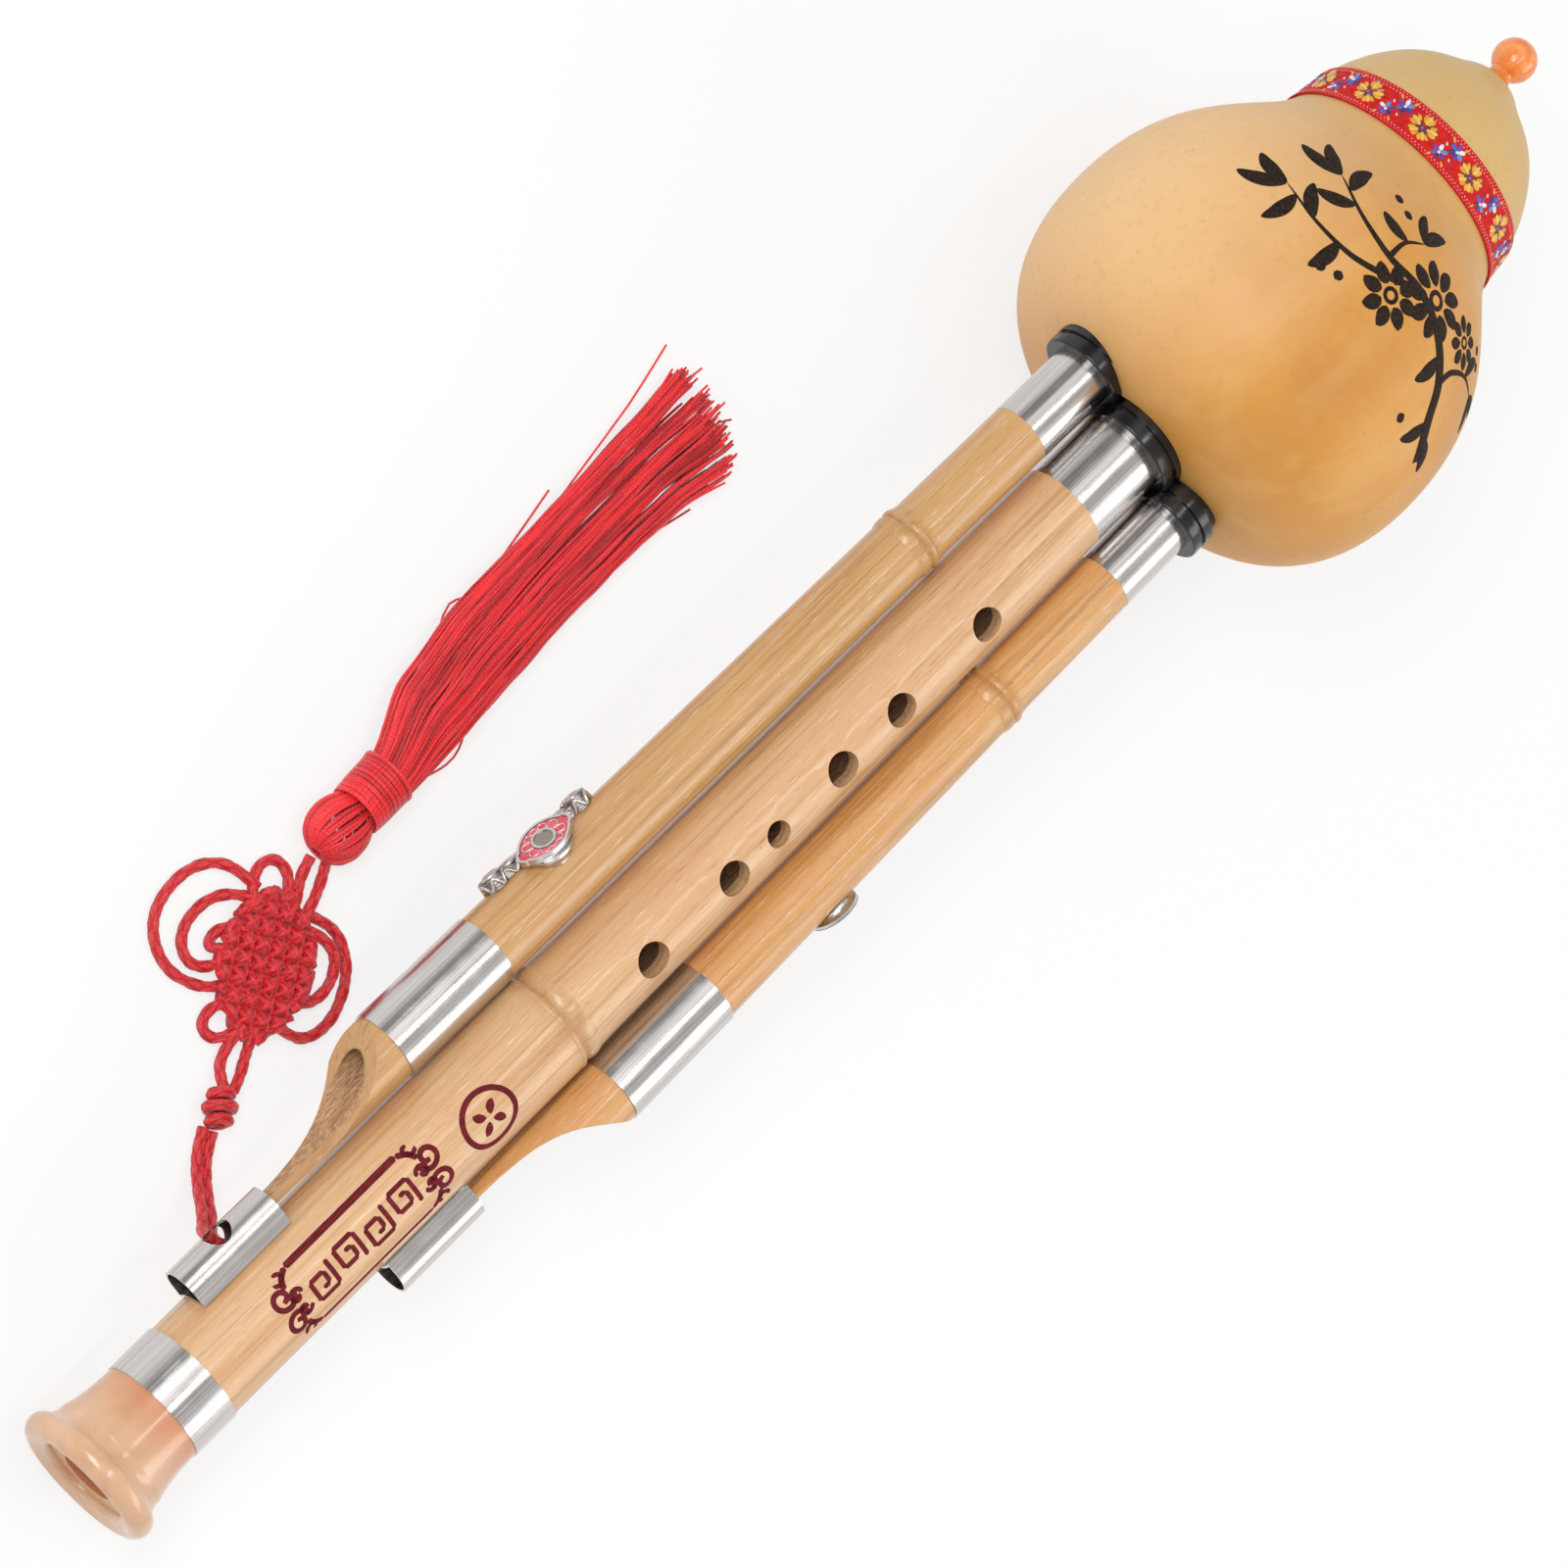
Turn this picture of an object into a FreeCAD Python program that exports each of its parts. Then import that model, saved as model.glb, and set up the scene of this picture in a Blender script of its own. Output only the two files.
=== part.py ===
import FreeCAD, Part
import math
import os

# A gourd flute: a melody pipe between two drone pipes, all three plugged into a dried gourd.
# It is modelled along X, from the face of the bell to the tip of the mouthpiece, with the left
# drone at +Y and the finger holes up, and is then laid on the floor, on gourd and bell rim.
# All sizes are millimetres.

# Bell
bell_length = 20.8
bell_neck_radius = 11.9
bell_rim_radius = 16.3
bell_rim_thickness = 5.2
bell_flare_start = 9.0
bell_bore_radius = 6.0
bell_recess_radius = 9.8
bell_recess_depth = 2.4
bell_spigot_length = 14.0
bell_ring_length = 11.0
ferrule_wall = 0.4

# Melody pipe
pipe_low_radius = 11.75
pipe_rim_radius = 12.05
pipe_mid_radius = 11.3
pipe_high_radius = 10.2
pipe_bore_radius = 7.6
pipe_node_x = 134.0
pipe_bare_end = 290.6
pipe_end = 328.0
pipe_ferrule_radius = 10.15
pipe_lip_x = 308.2
pipe_ferrule_end = 330.6

# Holes of the melody pipe: place along the pipe and radius
finger_holes = [(257.8, 3.7), (231.5, 3.7), (213.6, 3.85), (194.0, 2.95), (180.7, 3.8), (156.5, 3.9)]
thumb_hole = (270.0, 3.7)
hole_turn = 14.5

# Drone pipes: both have these sizes
drone_low_radius = 7.65
drone_mid_radius = 7.1
drone_high_radius = 6.95
drone_bore_radius = 4.2
drone_ferrule_radius = 7.0
low_ferrule_length = 29.0
top_ferrule_grip = 20.0
drone_tail_length = 47.0
left_tail_turn = 17.0
right_tail_turn = 5.0
tail_forward = 1.2
drone_spacing_low = 20.5
drone_spacing_high = 18.3
spacing_low_x = 120.0
spacing_high_x = 300.0

# Drone pipes: where each one's bottom ferrule, node and top ferrule lie
left_low_x, left_node_x, left_top_x, left_lip_x = 104.4, 258.0, 292.9, 311.4
right_low_x, right_node_x, right_top_x, right_lip_x = 135.3, 252.0, 288.1, 306.2

# Sockets in the gourd
socket_fit = 0.05
main_socket_wall = 2.0
main_lip_radius = 13.1
side_socket_wall = 1.4
side_lip_radius = 9.7
socket_lip = 2.2
socket_groove = 1.3
socket_groove_depth = 0.6
socket_depth = 25.0
socket_trim = 0.3

# Gourd outline from the pipe end to the stalk end: place along its axis and radius
gourd_outline = [(312.7, 0.0), (312.9, 10.0), (313.8, 21.0), (315.6, 29.0), (318.6, 35.8), (326.6, 43.8),
                 (348.0, 49.15), (371.0, 44.3), (386.0, 33.9), (395.0, 28.3), (403.5, 27.1), (414.0, 23.2),
                 (423.0, 16.0), (428.2, 9.0), (431.4, 0.0)]
gourd_wall = 3.0
gourd_centre_x = 348.0
gourd_side = -4.5
gourd_drop = -5.2
gourd_lean = 1.16

# Ribbon round the waist
ribbon_start = 394.8
ribbon_width = 9.6
ribbon_thickness = 0.6
ribbon_gap = 0.05

# Mouthpiece
mouthpiece_depth = 10.4
mouthpiece_base_radius = 4.0
mouthpiece_neck_radius = 2.7
mouthpiece_ball_radius = 5.0
mouthpiece_reach = 6.9
mouthpiece_bore_radius = 1.3

# Reeds: tubes inside the gourd, each with a brass plate on a flat
reed_wall = 1.3
main_reed_radius = 6.0
main_reed_start = 312.0
main_reed_length = 60.0
side_reed_length = 34.0
reed_seat_depth = 10.0
reed_plate_length = 16.0
reed_plate_width = 5.0
reed_plate_thickness = 0.5
reed_tongue_width = 2.0
reed_slit = 0.25

# End clips: thin tubes with a saddle, glued on the melody pipe, that hold the drones' tails
left_clip_length = 24.5
right_clip_length = 23.0
clip_half_width = 5.1
clip_shoulder = 14.05
clip_wall = 0.5
clip_gap = 0.1
clip_forward = 5.0
left_clip_x = 40.9
right_clip_x = 75.1
clip_hole_radius = 3.2
clip_hole_forward = 0.8
cord_hole_radius = 2.8
cord_hole_height = 15.4

# Stoppers of the drones' vents
vent_radius = 2.5
left_vent_x = 156.0
left_vent_turn = 21.5
right_vent_x = 197.0
seat_top = 9.6
right_seat_top = 8.5
seat_base_radius = 4.4
seat_rim_radius = 5.7
glue_gap = 0.1
stopper_gap = 0.1
plaque_length = 14.6
plaque_width = 9.8
plaque_blunt = 3.6
plaque_thickness = 1.4
plaque_rim = 0.55
plaque_inlay_depth = 0.25
magnet_radius = 2.2
cap_radius = 5.75
cap_wall = 0.6
cap_rise = 1.5
bar_turn = -14.0
bar_length = 30.0
bar_width = 4.6
bar_top = 9.3
bar_end_radius = 3.1
bar_end_top = 10.1

# Cord, knots and tassel, laid on the floor beside the flute: points are (x, y, z) on the floor
cord_radius = 1.2
strand_offset = (-0.45, 1.05)
hanging_points = [(-166.8, 20.15, 19.9), (-166.3, 20.5, 15.6), (-162.4, 21.1, 12.0), (-157.9, 23.1, 6.5),
                  (-154.0, 25.1, 2.9), (-150.5, 27.6, 1.5), (-146.6, 30.4, 2.4)]
lead_points = [[(-138.9, 33.9, 3.2), (-137.5, 36.4, 2.4), (-135.1, 38.4, 1.6), (-131.5, 40.4, 2.4)],
               [(-137.7, 32.4, 3.2), (-134.6, 32.9, 2.4), (-131.4, 34.4, 1.6), (-128.4, 36.4, 2.4)]]
left_loop_points = [
    [(-105.8, 58.4, 2.6), (-106.2, 63.6, 1.8), (-108.4, 68.0, 1.3), (-113.4, 71.3, 1.3), (-119.9, 72.0, 1.3),
     (-126.2, 70.4, 1.3), (-130.2, 66.0, 1.3), (-131.6, 59.9, 1.3), (-129.4, 53.7, 1.3), (-125.7, 49.5, 1.8),
     (-121.0, 47.3, 2.6)],
    [(-106.9, 56.1, 2.6), (-109.4, 60.0, 2.0), (-112.8, 63.0, 1.3), (-117.3, 64.4, 1.3), (-122.5, 64.0, 1.3),
     (-126.3, 61.8, 2.0), (-127.6, 58.3, 2.6), (-125.9, 55.2, 2.4), (-122.2, 53.0, 2.2), (-117.5, 52.1, 2.8)],
    [(-112.9, 52.6, 3.2), (-114.4, 56.1, 2.4), (-117.6, 58.1, 1.6), (-121.0, 58.0, 1.6), (-121.7, 56.2, 2.2),
     (-118.4, 53.4, 3.2)]]
low_loop_points = [(-122.9, 44.2, 3.0), (-126.3, 46.3, 2.0), (-130.1, 47.7, 1.4), (-133.5, 46.6, 1.4),
                   (-133.9, 43.4, 1.4), (-131.4, 41.2, 2.2), (-128.0, 40.4, 3.0)]
top_loop_points = [(-110.0, 55.8, 3.0), (-106.5, 59.3, 2.2), (-102.6, 61.3, 1.6), (-98.9, 60.3, 1.6),
                   (-97.8, 56.9, 1.6), (-99.8, 53.6, 2.2), (-104.0, 51.6, 3.0)]
right_loop_points = [
    [(-101.6, 47.5, 3.0), (-99.0, 42.9, 2.2), (-98.0, 37.9, 1.4), (-100.3, 32.7, 1.4), (-104.8, 28.8, 1.4),
     (-111.0, 26.4, 1.4), (-117.0, 27.2, 1.4), (-120.3, 30.6, 2.0), (-121.4, 35.1, 3.0)],
    [(-103.2, 44.1, 3.4), (-101.6, 40.4, 3.4), (-102.1, 36.3, 3.2), (-105.0, 33.0, 2.2), (-109.3, 31.8, 1.6),
     (-113.7, 33.4, 2.2), (-116.4, 36.9, 3.0)]]
tassel_cord_points = [[(-101.9, 49.6, 3.0), (-99.2, 51.7, 2.4), (-96.0, 53.5, 2.0), (-92.6, 54.9, 3.0)],
                      [(-99.4, 47.3, 3.0), (-95.4, 48.7, 2.4), (-92.3, 50.1, 2.0), (-89.9, 52.2, 3.0)]]
knot_outline = [(-131.0, 36.5), (-127.8, 42.5), (-123.0, 48.5), (-116.0, 54.0), (-109.0, 57.5), (-102.5, 56.5),
                (-99.2, 51.5), (-100.5, 45.7), (-105.7, 39.5), (-114.0, 34.8), (-122.0, 32.4), (-128.0, 32.8)]
knot_rings = [(0.88, 0.0), (1.0, 1.6), (1.0, 3.6), (0.86, 5.2), (0.6, 5.8)]
button_centre = (-142.2, 32.2, 2.8)
button_size = (5.0, 4.1, 3.3)
button_turn = 42.0
head_centre = (-85.4, 55.6, 5.2)
head_size = (6.4, 6.6, 5.7)
binding_start = -80.2
binding_end = -69.6
binding_radius = 6.1
skirt_sections = [(-69.5, 55.3, 5.1, 5.4, 5.4), (-53.6, 58.6, 4.5, 8.8, 5.0), (-35.0, 60.0, 4.1, 9.8, 4.6),
                  (-17.0, 60.2, 3.7, 9.6, 4.2), (2.0, 59.7, 3.3, 9.9, 3.8), (20.0, 59.0, 2.9, 10.8, 3.4),
                  (38.0, 57.0, 2.4, 13.3, 2.9)]

X = FreeCAD.Vector(1, 0, 0)
Y = FreeCAD.Vector(0, 1, 0)
Z = FreeCAD.Vector(0, 0, 1)
ORIGIN = FreeCAD.Vector(0, 0, 0)
FAR = 400.0


def at(x, y, z=0.0):
    return FreeCAD.Vector(x, y, z)


def line(start, end):
    return Part.LineSegment(start, end).toShape()


def arc(start, middle, end):
    return Part.Arc(start, middle, end).toShape()


def curve(points, first=None, last=None):
    spline = Part.BSplineCurve()
    if first is None:
        spline.interpolate(points)
    else:
        spline.interpolate(Points=points, InitialTangent=first, FinalTangent=last)
    return spline.toShape()


def turned(*steps):
    # A step is (x, radius) for a straight line, or (x, radius, middle x, middle radius) for an arc
    edges = []
    for index, step in enumerate(steps):
        following = steps[(index + 1) % len(steps)]
        start = at(step[0], step[1])
        end = at(following[0], following[1])
        if len(following) == 4:
            edges.append(arc(start, at(following[2], following[3]), end))
        else:
            edges.append(line(start, end))
    return Part.Face(Part.Wire(edges)).revolve(ORIGIN, X, 360)


def rod(radius, start, end):
    return Part.makeCylinder(radius, end - start, at(start, 0), X)


def tube(outer, inner, start, end):
    return rod(outer, start, end).cut(rod(inner, start, end))


def pin(base, direction, radius, start, end):
    return Part.makeCylinder(radius, end - start, base + direction * start, direction)


def sector(turn):
    # Unit vector out from +Y, turned towards the finger holes
    angle = math.radians(turn)
    return at(0, math.cos(angle), math.sin(angle))


def drone_offset(x):
    toe = (drone_spacing_low - drone_spacing_high) / (spacing_high_x - spacing_low_x)
    return drone_spacing_low - (x - spacing_low_x) * toe


drone_toe = math.degrees(math.atan2(drone_spacing_low - drone_spacing_high, spacing_high_x - spacing_low_x))


def beside(shape, side):
    # From a drone's own axis to its place beside the melody pipe; side is 1 left, -1 right
    moved = shape if side > 0 else shape.mirror(ORIGIN, Y)
    moved.rotate(ORIGIN, Z, -side * drone_toe)
    moved.translate(at(0, side * drone_offset(0)))
    return moved


def on_gourd(shape):
    moved = shape.copy()
    moved.rotate(at(gourd_centre_x, 0), Z, gourd_lean)
    moved.translate(at(0, gourd_side, gourd_drop))
    return moved


# Bell and its ring

def make_bell():
    body_end = bell_length + bell_spigot_length
    lip = bell_rim_thickness / 2
    bell = turned(
        (bell_recess_depth, bell_bore_radius),
        (bell_recess_depth, bell_recess_radius),
        (0.8, bell_recess_radius + 1.4, 1.2, bell_recess_radius + 0.5),
        (0.0, bell_rim_radius - lip),
        (bell_rim_thickness, bell_rim_radius - 0.9, lip * 0.8, bell_rim_radius),
        (bell_flare_start, bell_neck_radius + 1.5, bell_flare_start - 2.6, bell_neck_radius + 2.2),
        (bell_length, bell_neck_radius, bell_flare_start + 5, bell_neck_radius + 0.45),
        (bell_length, pipe_bore_radius),
        (body_end, pipe_bore_radius),
        (body_end, bell_bore_radius),
    )
    return bell


def make_bell_ring():
    return tube(pipe_low_radius + ferrule_wall, pipe_low_radius, bell_length, bell_length + bell_ring_length)


# Melody pipe

def make_main_pipe():
    ring_end = bell_length + bell_ring_length
    tenon = pipe_ferrule_radius - ferrule_wall
    node = pipe_node_x
    pipe = turned(
        (bell_length, pipe_bore_radius),
        (bell_length, pipe_low_radius),
        (ring_end, pipe_low_radius),
        (node - 1.6, pipe_rim_radius - 0.15),
        (node - 0.4, pipe_rim_radius - 0.2, node - 0.9, pipe_rim_radius),
        (node + 0.4, pipe_rim_radius - 0.75),
        (node + 4.2, pipe_rim_radius - 0.5, node + 2.2, pipe_rim_radius - 0.15),
        (node + 9.0, pipe_mid_radius, node + 6.4, pipe_mid_radius + 0.1),
        (pipe_bare_end, pipe_high_radius),
        (pipe_bare_end, tenon),
        (pipe_end, tenon),
        (pipe_end, pipe_bore_radius),
    )
    front = sector(90 + hole_turn)
    for x, radius in finger_holes:
        pipe = pipe.cut(pin(at(x, 0), front, radius, 0, FAR))
    x, radius = thumb_hole
    return pipe.cut(pin(at(x, 0), front * -1, radius, 0, FAR))


def make_main_top_ferrule():
    return tube(pipe_ferrule_radius, pipe_ferrule_radius - ferrule_wall, pipe_bare_end, pipe_ferrule_end)


# Reeds

def reed_flat_height(radius):
    return radius - reed_wall * 0.6


def make_reed_tube(radius, start, length):
    end = start + length
    outer = rod(radius, start, end)
    inner = rod(radius - reed_wall, start, end - 2 * reed_wall)
    flat_z = reed_flat_height(radius)
    flat_start = end - reed_plate_length - 3 * reed_wall
    above = Part.makeBox(end - flat_start, 2 * radius, radius, at(flat_start, -radius, flat_z))
    window = Part.makeBox(reed_plate_length - 4, reed_tongue_width + 1, radius,
                          at(flat_start + 2 + reed_wall, -(reed_tongue_width + 1) / 2, 0))
    return outer.cut(inner).cut(above).cut(window)


def make_reed(radius, start, length):
    flat_start = start + length - reed_plate_length - 3 * reed_wall
    bottom = reed_flat_height(radius)
    x = flat_start + reed_wall
    plate = Part.makeBox(reed_plate_length, reed_plate_width, reed_plate_thickness,
                         at(x, -reed_plate_width / 2, bottom))
    slot = Part.makeBox(reed_plate_length - 5, reed_tongue_width + 2 * reed_slit, reed_plate_thickness,
                        at(x + 2.5, -reed_tongue_width / 2 - reed_slit, bottom))
    tongue = Part.makeBox(reed_plate_length - 5 - reed_slit, reed_tongue_width, reed_plate_thickness,
                          at(x + 2.5, -reed_tongue_width / 2, bottom))
    return plate.cut(slot).fuse(tongue).removeSplitter()


def make_reed_bush():
    return tube(pipe_bore_radius, main_reed_radius, main_reed_start, pipe_end)


# Drone pipes, along their own axis: +Y is the side away from the melody pipe

def tail_cut(low_x, turn):
    # Everything outside the carved tail: the scoop that opens the bore, then the narrowed sides
    tip = low_x - drone_tail_length
    depth = [(low_x - 0.6, drone_low_radius), (low_x - 6.6, 2.9), (low_x - 12.4, -1.2), (low_x - 19.0, -3.8),
             (low_x - 29.0, -5.1), (tip, -5.6)]
    scoop = curve([at(x, y) for x, y in depth])
    first = at(*depth[0])
    last = at(*depth[-1])
    outside = [scoop, line(last, at(tip - 5, last.y)), line(at(tip - 5, last.y), at(tip - 5, 12)),
               line(at(tip - 5, 12), at(first.x, 12)), line(at(first.x, 12), first)]
    opened = Part.Face(Part.Wire(outside)).extrude(at(0, 0, 24))
    opened.translate(at(0, 0, -12))
    opened.rotate(ORIGIN, X, turn)
    half = [(low_x - 5.0, drone_low_radius + tail_forward), (low_x - 13.0, 7.3), (low_x - 24.0, 4.7),
            (low_x - 36.0, 3.0), (tip, 2.7)]
    side = curve([at(x, 0, z) for x, z in half])
    start = at(half[0][0], 0, half[0][1])
    end = at(tip, 0, half[-1][1])
    corner = at(tip - 5, 0, end.z)
    edges = [side, line(end, corner), line(corner, at(tip - 5, 0, 12)),
             line(at(tip - 5, 0, 12), at(start.x, 0, 12)), line(at(start.x, 0, 12), start)]
    narrowed = Part.Face(Part.Wire(edges)).extrude(at(0, 24, 0))
    narrowed.translate(at(0, -12, 0))
    sides = narrowed.fuse(narrowed.mirror(ORIGIN, Z))
    sides.translate(at(0, 0, tail_forward))
    return opened.fuse(sides)


def drone_outside(low_x, node_x, top_x, lip_x, grow):
    tenon = drone_ferrule_radius - ferrule_wall
    end = lip_x + top_ferrule_grip - 2
    low, mid, high = drone_low_radius + grow, drone_mid_radius + grow, drone_high_radius + grow
    return turned(
        (low_x - drone_tail_length, 0),
        (low_x - drone_tail_length, low),
        (low_x + low_ferrule_length, low),
        (node_x - 3.0, mid),
        (node_x - 0.5, mid + 0.45, node_x - 1.6, mid + 0.4),
        (node_x + 0.3, mid + 0.1),
        (node_x + 2.2, mid + 0.3, node_x + 1.2, mid + 0.6),
        (node_x + 5.0, high, node_x + 3.4, high + 0.1),
        (top_x, high),
        (top_x, tenon),
        (end, tenon),
        (end, 0),
    )


def make_drone_pipe(low_x, node_x, top_x, lip_x, vent_x, vent_turn, tail_turn):
    pipe = drone_outside(low_x, node_x, top_x, lip_x, 0)
    end = lip_x + top_ferrule_grip
    pipe = pipe.cut(rod(drone_bore_radius, low_x - drone_tail_length / 2, end))
    pipe = pipe.cut(tail_cut(low_x, tail_turn))
    return pipe.cut(pin(at(vent_x, 0), sector(vent_turn), vent_radius, 0, FAR))


def make_drone_top_ferrule(top_x, lip_x):
    inner = drone_ferrule_radius - ferrule_wall
    return tube(drone_ferrule_radius, inner, top_x, lip_x + top_ferrule_grip)


def make_drone_low_ferrule(low_x):
    outer = drone_low_radius + ferrule_wall
    return tube(outer, drone_low_radius, low_x, low_x + low_ferrule_length)


def make_drone_reed_tube(lip_x):
    start = lip_x + top_ferrule_grip - 2 - reed_seat_depth
    return make_reed_tube(drone_bore_radius, start, side_reed_length)


def make_drone_reed(lip_x):
    start = lip_x + top_ferrule_grip - 2 - reed_seat_depth
    return make_reed(drone_bore_radius, start, side_reed_length)


# Stoppers: a seat glued on the drone round its vent, and the piece that magnets hold on it

def along(shape, vent_x, turn):
    # From a frame whose +X leaves the drone to the vent's place, keeping the drone's direction as its +Y
    moved = shape.copy()
    moved.rotate(ORIGIN, Z, 90)
    moved.rotate(ORIGIN, X, turn)
    moved.translate(at(vent_x, 0))
    return moved


def make_vent_seat(vent_x, turn, top):
    base = drone_low_radius - 1.5
    seat = turned(
        (base, vent_radius),
        (base, seat_base_radius),
        (top - 0.7, seat_rim_radius, (base + top) / 2, seat_base_radius + 0.4),
        (top, seat_rim_radius),
        (top, vent_radius),
    )
    return along(seat, vent_x, turn)


def make_plaque():
    # Outline of two shallow arcs between blunt ends, in the plane across +X
    half = plaque_length / 2
    waist = plaque_width / 2
    blunt = plaque_blunt / 2

    def outline(inset, x):
        a = half - inset
        b = waist - inset
        c = blunt - inset * 0.6
        p1, p2 = at(x, -a + 1.2, c), at(x, a - 1.2, c)
        p3, p4 = at(x, a - 1.2, -c), at(x, -a + 1.2, -c)
        top, low = at(x, 0, b), at(x, 0, -b)
        left_end, right_end = at(x, -a, 0), at(x, a, 0)
        return Part.Wire([arc(p1, top, p2), arc(p2, right_end, p3), arc(p3, low, p4), arc(p4, left_end, p1)])

    bottom = seat_top + stopper_gap
    plate = Part.Face(outline(0, bottom)).extrude(at(plaque_thickness, 0))
    inlay = Part.Face(outline(plaque_rim, bottom + plaque_thickness - plaque_inlay_depth))
    plate = plate.cut(inlay.extrude(at(plaque_thickness, 0)))
    boss = rod(magnet_radius + plaque_rim, bottom, bottom + plaque_thickness)
    return plate.fuse(boss).cut(rod(magnet_radius, bottom, bottom + FAR)).removeSplitter()


def make_plaque_magnet():
    bottom = seat_top + stopper_gap
    return rod(magnet_radius, bottom, bottom + plaque_thickness - plaque_inlay_depth)


def make_cap():
    # A shallow dome whose underside holds the magnet
    bottom = right_seat_top + stopper_gap
    sphere = (cap_radius ** 2 + cap_rise ** 2) / (2 * cap_rise)
    half_turn = math.asin(cap_radius / sphere) / 2
    sag = sphere * (1 - math.cos(half_turn))
    return turned(
        (bottom, magnet_radius),
        (bottom, cap_radius),
        (bottom + cap_rise, 0, bottom + cap_rise - sag, sphere * math.sin(half_turn)),
        (bottom + cap_rise - cap_wall, 0),
        (bottom + cap_rise - cap_wall, magnet_radius),
    )


def make_cap_magnet():
    bottom = right_seat_top + stopper_gap
    return rod(magnet_radius, bottom, bottom + cap_rise - cap_wall)


def make_stopper_bar():
    base = drone_low_radius - 2
    bar = Part.makeBox(bar_top - base, bar_length - 2 * bar_end_radius, bar_width,
                       at(base, bar_end_radius - bar_length / 2, -bar_width / 2))
    ends = []
    for side in (-1, 1):
        centre = at(0, side * (bar_length / 2 - bar_end_radius))
        ends.append(pin(centre, X, bar_end_radius, base, bar_end_top))
    notches = []
    for step in (-2, -1, 1, 2):
        notch = Part.makeCylinder(0.7, bar_width, at(bar_top + 0.2, step * 3.4, -bar_width / 2), Z)
        notches.append(notch)
    return bar.fuse(ends).cut(notches).removeSplitter()


# End clips

def clip_section(half_width, saddle, x):
    angle = math.asin(half_width / saddle)
    foot = saddle * math.cos(angle)
    left_foot, right_foot = at(x, foot, -half_width), at(x, foot, half_width)
    left_top, right_top = at(x, clip_shoulder, -half_width), at(x, clip_shoulder, half_width)
    edges = [arc(left_foot, at(x, saddle, 0), right_foot), line(right_foot, right_top),
             arc(right_top, at(x, clip_shoulder + half_width, 0), left_top), line(left_top, left_foot)]
    return Part.Face(Part.Wire(edges))


def make_clip(start, length, side, holed):
    saddle = pipe_rim_radius + clip_gap
    outer = clip_section(clip_half_width, saddle, start)
    inner = clip_section(clip_half_width - clip_wall, saddle + clip_wall, start)
    clip = outer.cut(inner).extrude(at(length, 0))
    if holed:
        middle = start + length / 2
        clip = clip.cut(pin(at(middle, 0, clip_hole_forward), Y, clip_hole_radius, clip_shoulder, FAR))
        clip = clip.cut(pin(at(middle, cord_hole_height, 0), Z * -1, cord_hole_radius, 1, FAR))
    clip.rotate(ORIGIN, X, clip_forward)
    return clip if side > 0 else clip.mirror(ORIGIN, Y)


# Gourd, ribbon and mouthpiece, along the gourd's own axis

def inset_outline(points, depth):
    # The outline moved inwards by depth, square to itself
    edge = curve([at(x, r) for x, r in points], Y, Y * -1)
    inner = []
    for x, r in points[1:-1]:
        parameter = edge.Curve.parameter(at(x, r))
        tangent = edge.Curve.tangent(parameter)[0]
        inner.append((x + tangent.y * depth, r - tangent.x * depth))
    return [(points[0][0] + depth, 0.0)] + inner + [(points[-1][0] - depth, 0.0)]


def gourd_solid(points):
    edge = curve([at(x, r) for x, r in points], Y, Y * -1)
    base = line(at(points[-1][0], 0), at(points[0][0], 0))
    return Part.Face(Part.Wire([edge, base])).revolve(ORIGIN, X, 360)


def make_ribbon():
    outer = gourd_solid(inset_outline(gourd_outline, -ribbon_gap - ribbon_thickness))
    inner = gourd_solid(inset_outline(gourd_outline, -ribbon_gap))
    band = tube(FAR, 1, ribbon_start, ribbon_start + ribbon_width)
    return outer.cut(inner).common(band)


def make_mouthpiece():
    top = gourd_outline[-1][0]
    start = top - mouthpiece_depth
    ball = top + mouthpiece_reach
    radius = mouthpiece_ball_radius
    ball_start = ball - math.sqrt(radius ** 2 - mouthpiece_neck_radius ** 2)
    tip = ball + math.sqrt(radius ** 2 - (mouthpiece_bore_radius + 0.4) ** 2)
    return turned(
        (start, mouthpiece_bore_radius),
        (start, mouthpiece_base_radius),
        (top, mouthpiece_base_radius),
        (ball_start, mouthpiece_neck_radius, (top + ball_start) / 2 - 0.3, mouthpiece_neck_radius + 0.35),
        (tip, mouthpiece_bore_radius + 0.4, ball, radius),
        (tip, mouthpiece_bore_radius),
    )


# Sockets

def socket_body(bore, wall, lip_radius, lip_x):
    # The outside of a socket, filled: lip, groove, second ring, and the body through the gourd
    groove = lip_x + socket_lip
    ring = groove + socket_groove
    body = bore + wall
    return turned(
        (lip_x, 0),
        (lip_x, lip_radius - 0.4),
        (lip_x + 0.5, lip_radius, lip_x + 0.15, lip_radius - 0.12),
        (groove, lip_radius),
        (groove, lip_radius - socket_groove_depth),
        (ring, lip_radius - socket_groove_depth),
        (ring, lip_radius),
        (ring + socket_lip, lip_radius),
        (ring + socket_lip, body),
        (lip_x + socket_depth, body),
        (lip_x + socket_depth, 0),
    )


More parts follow.
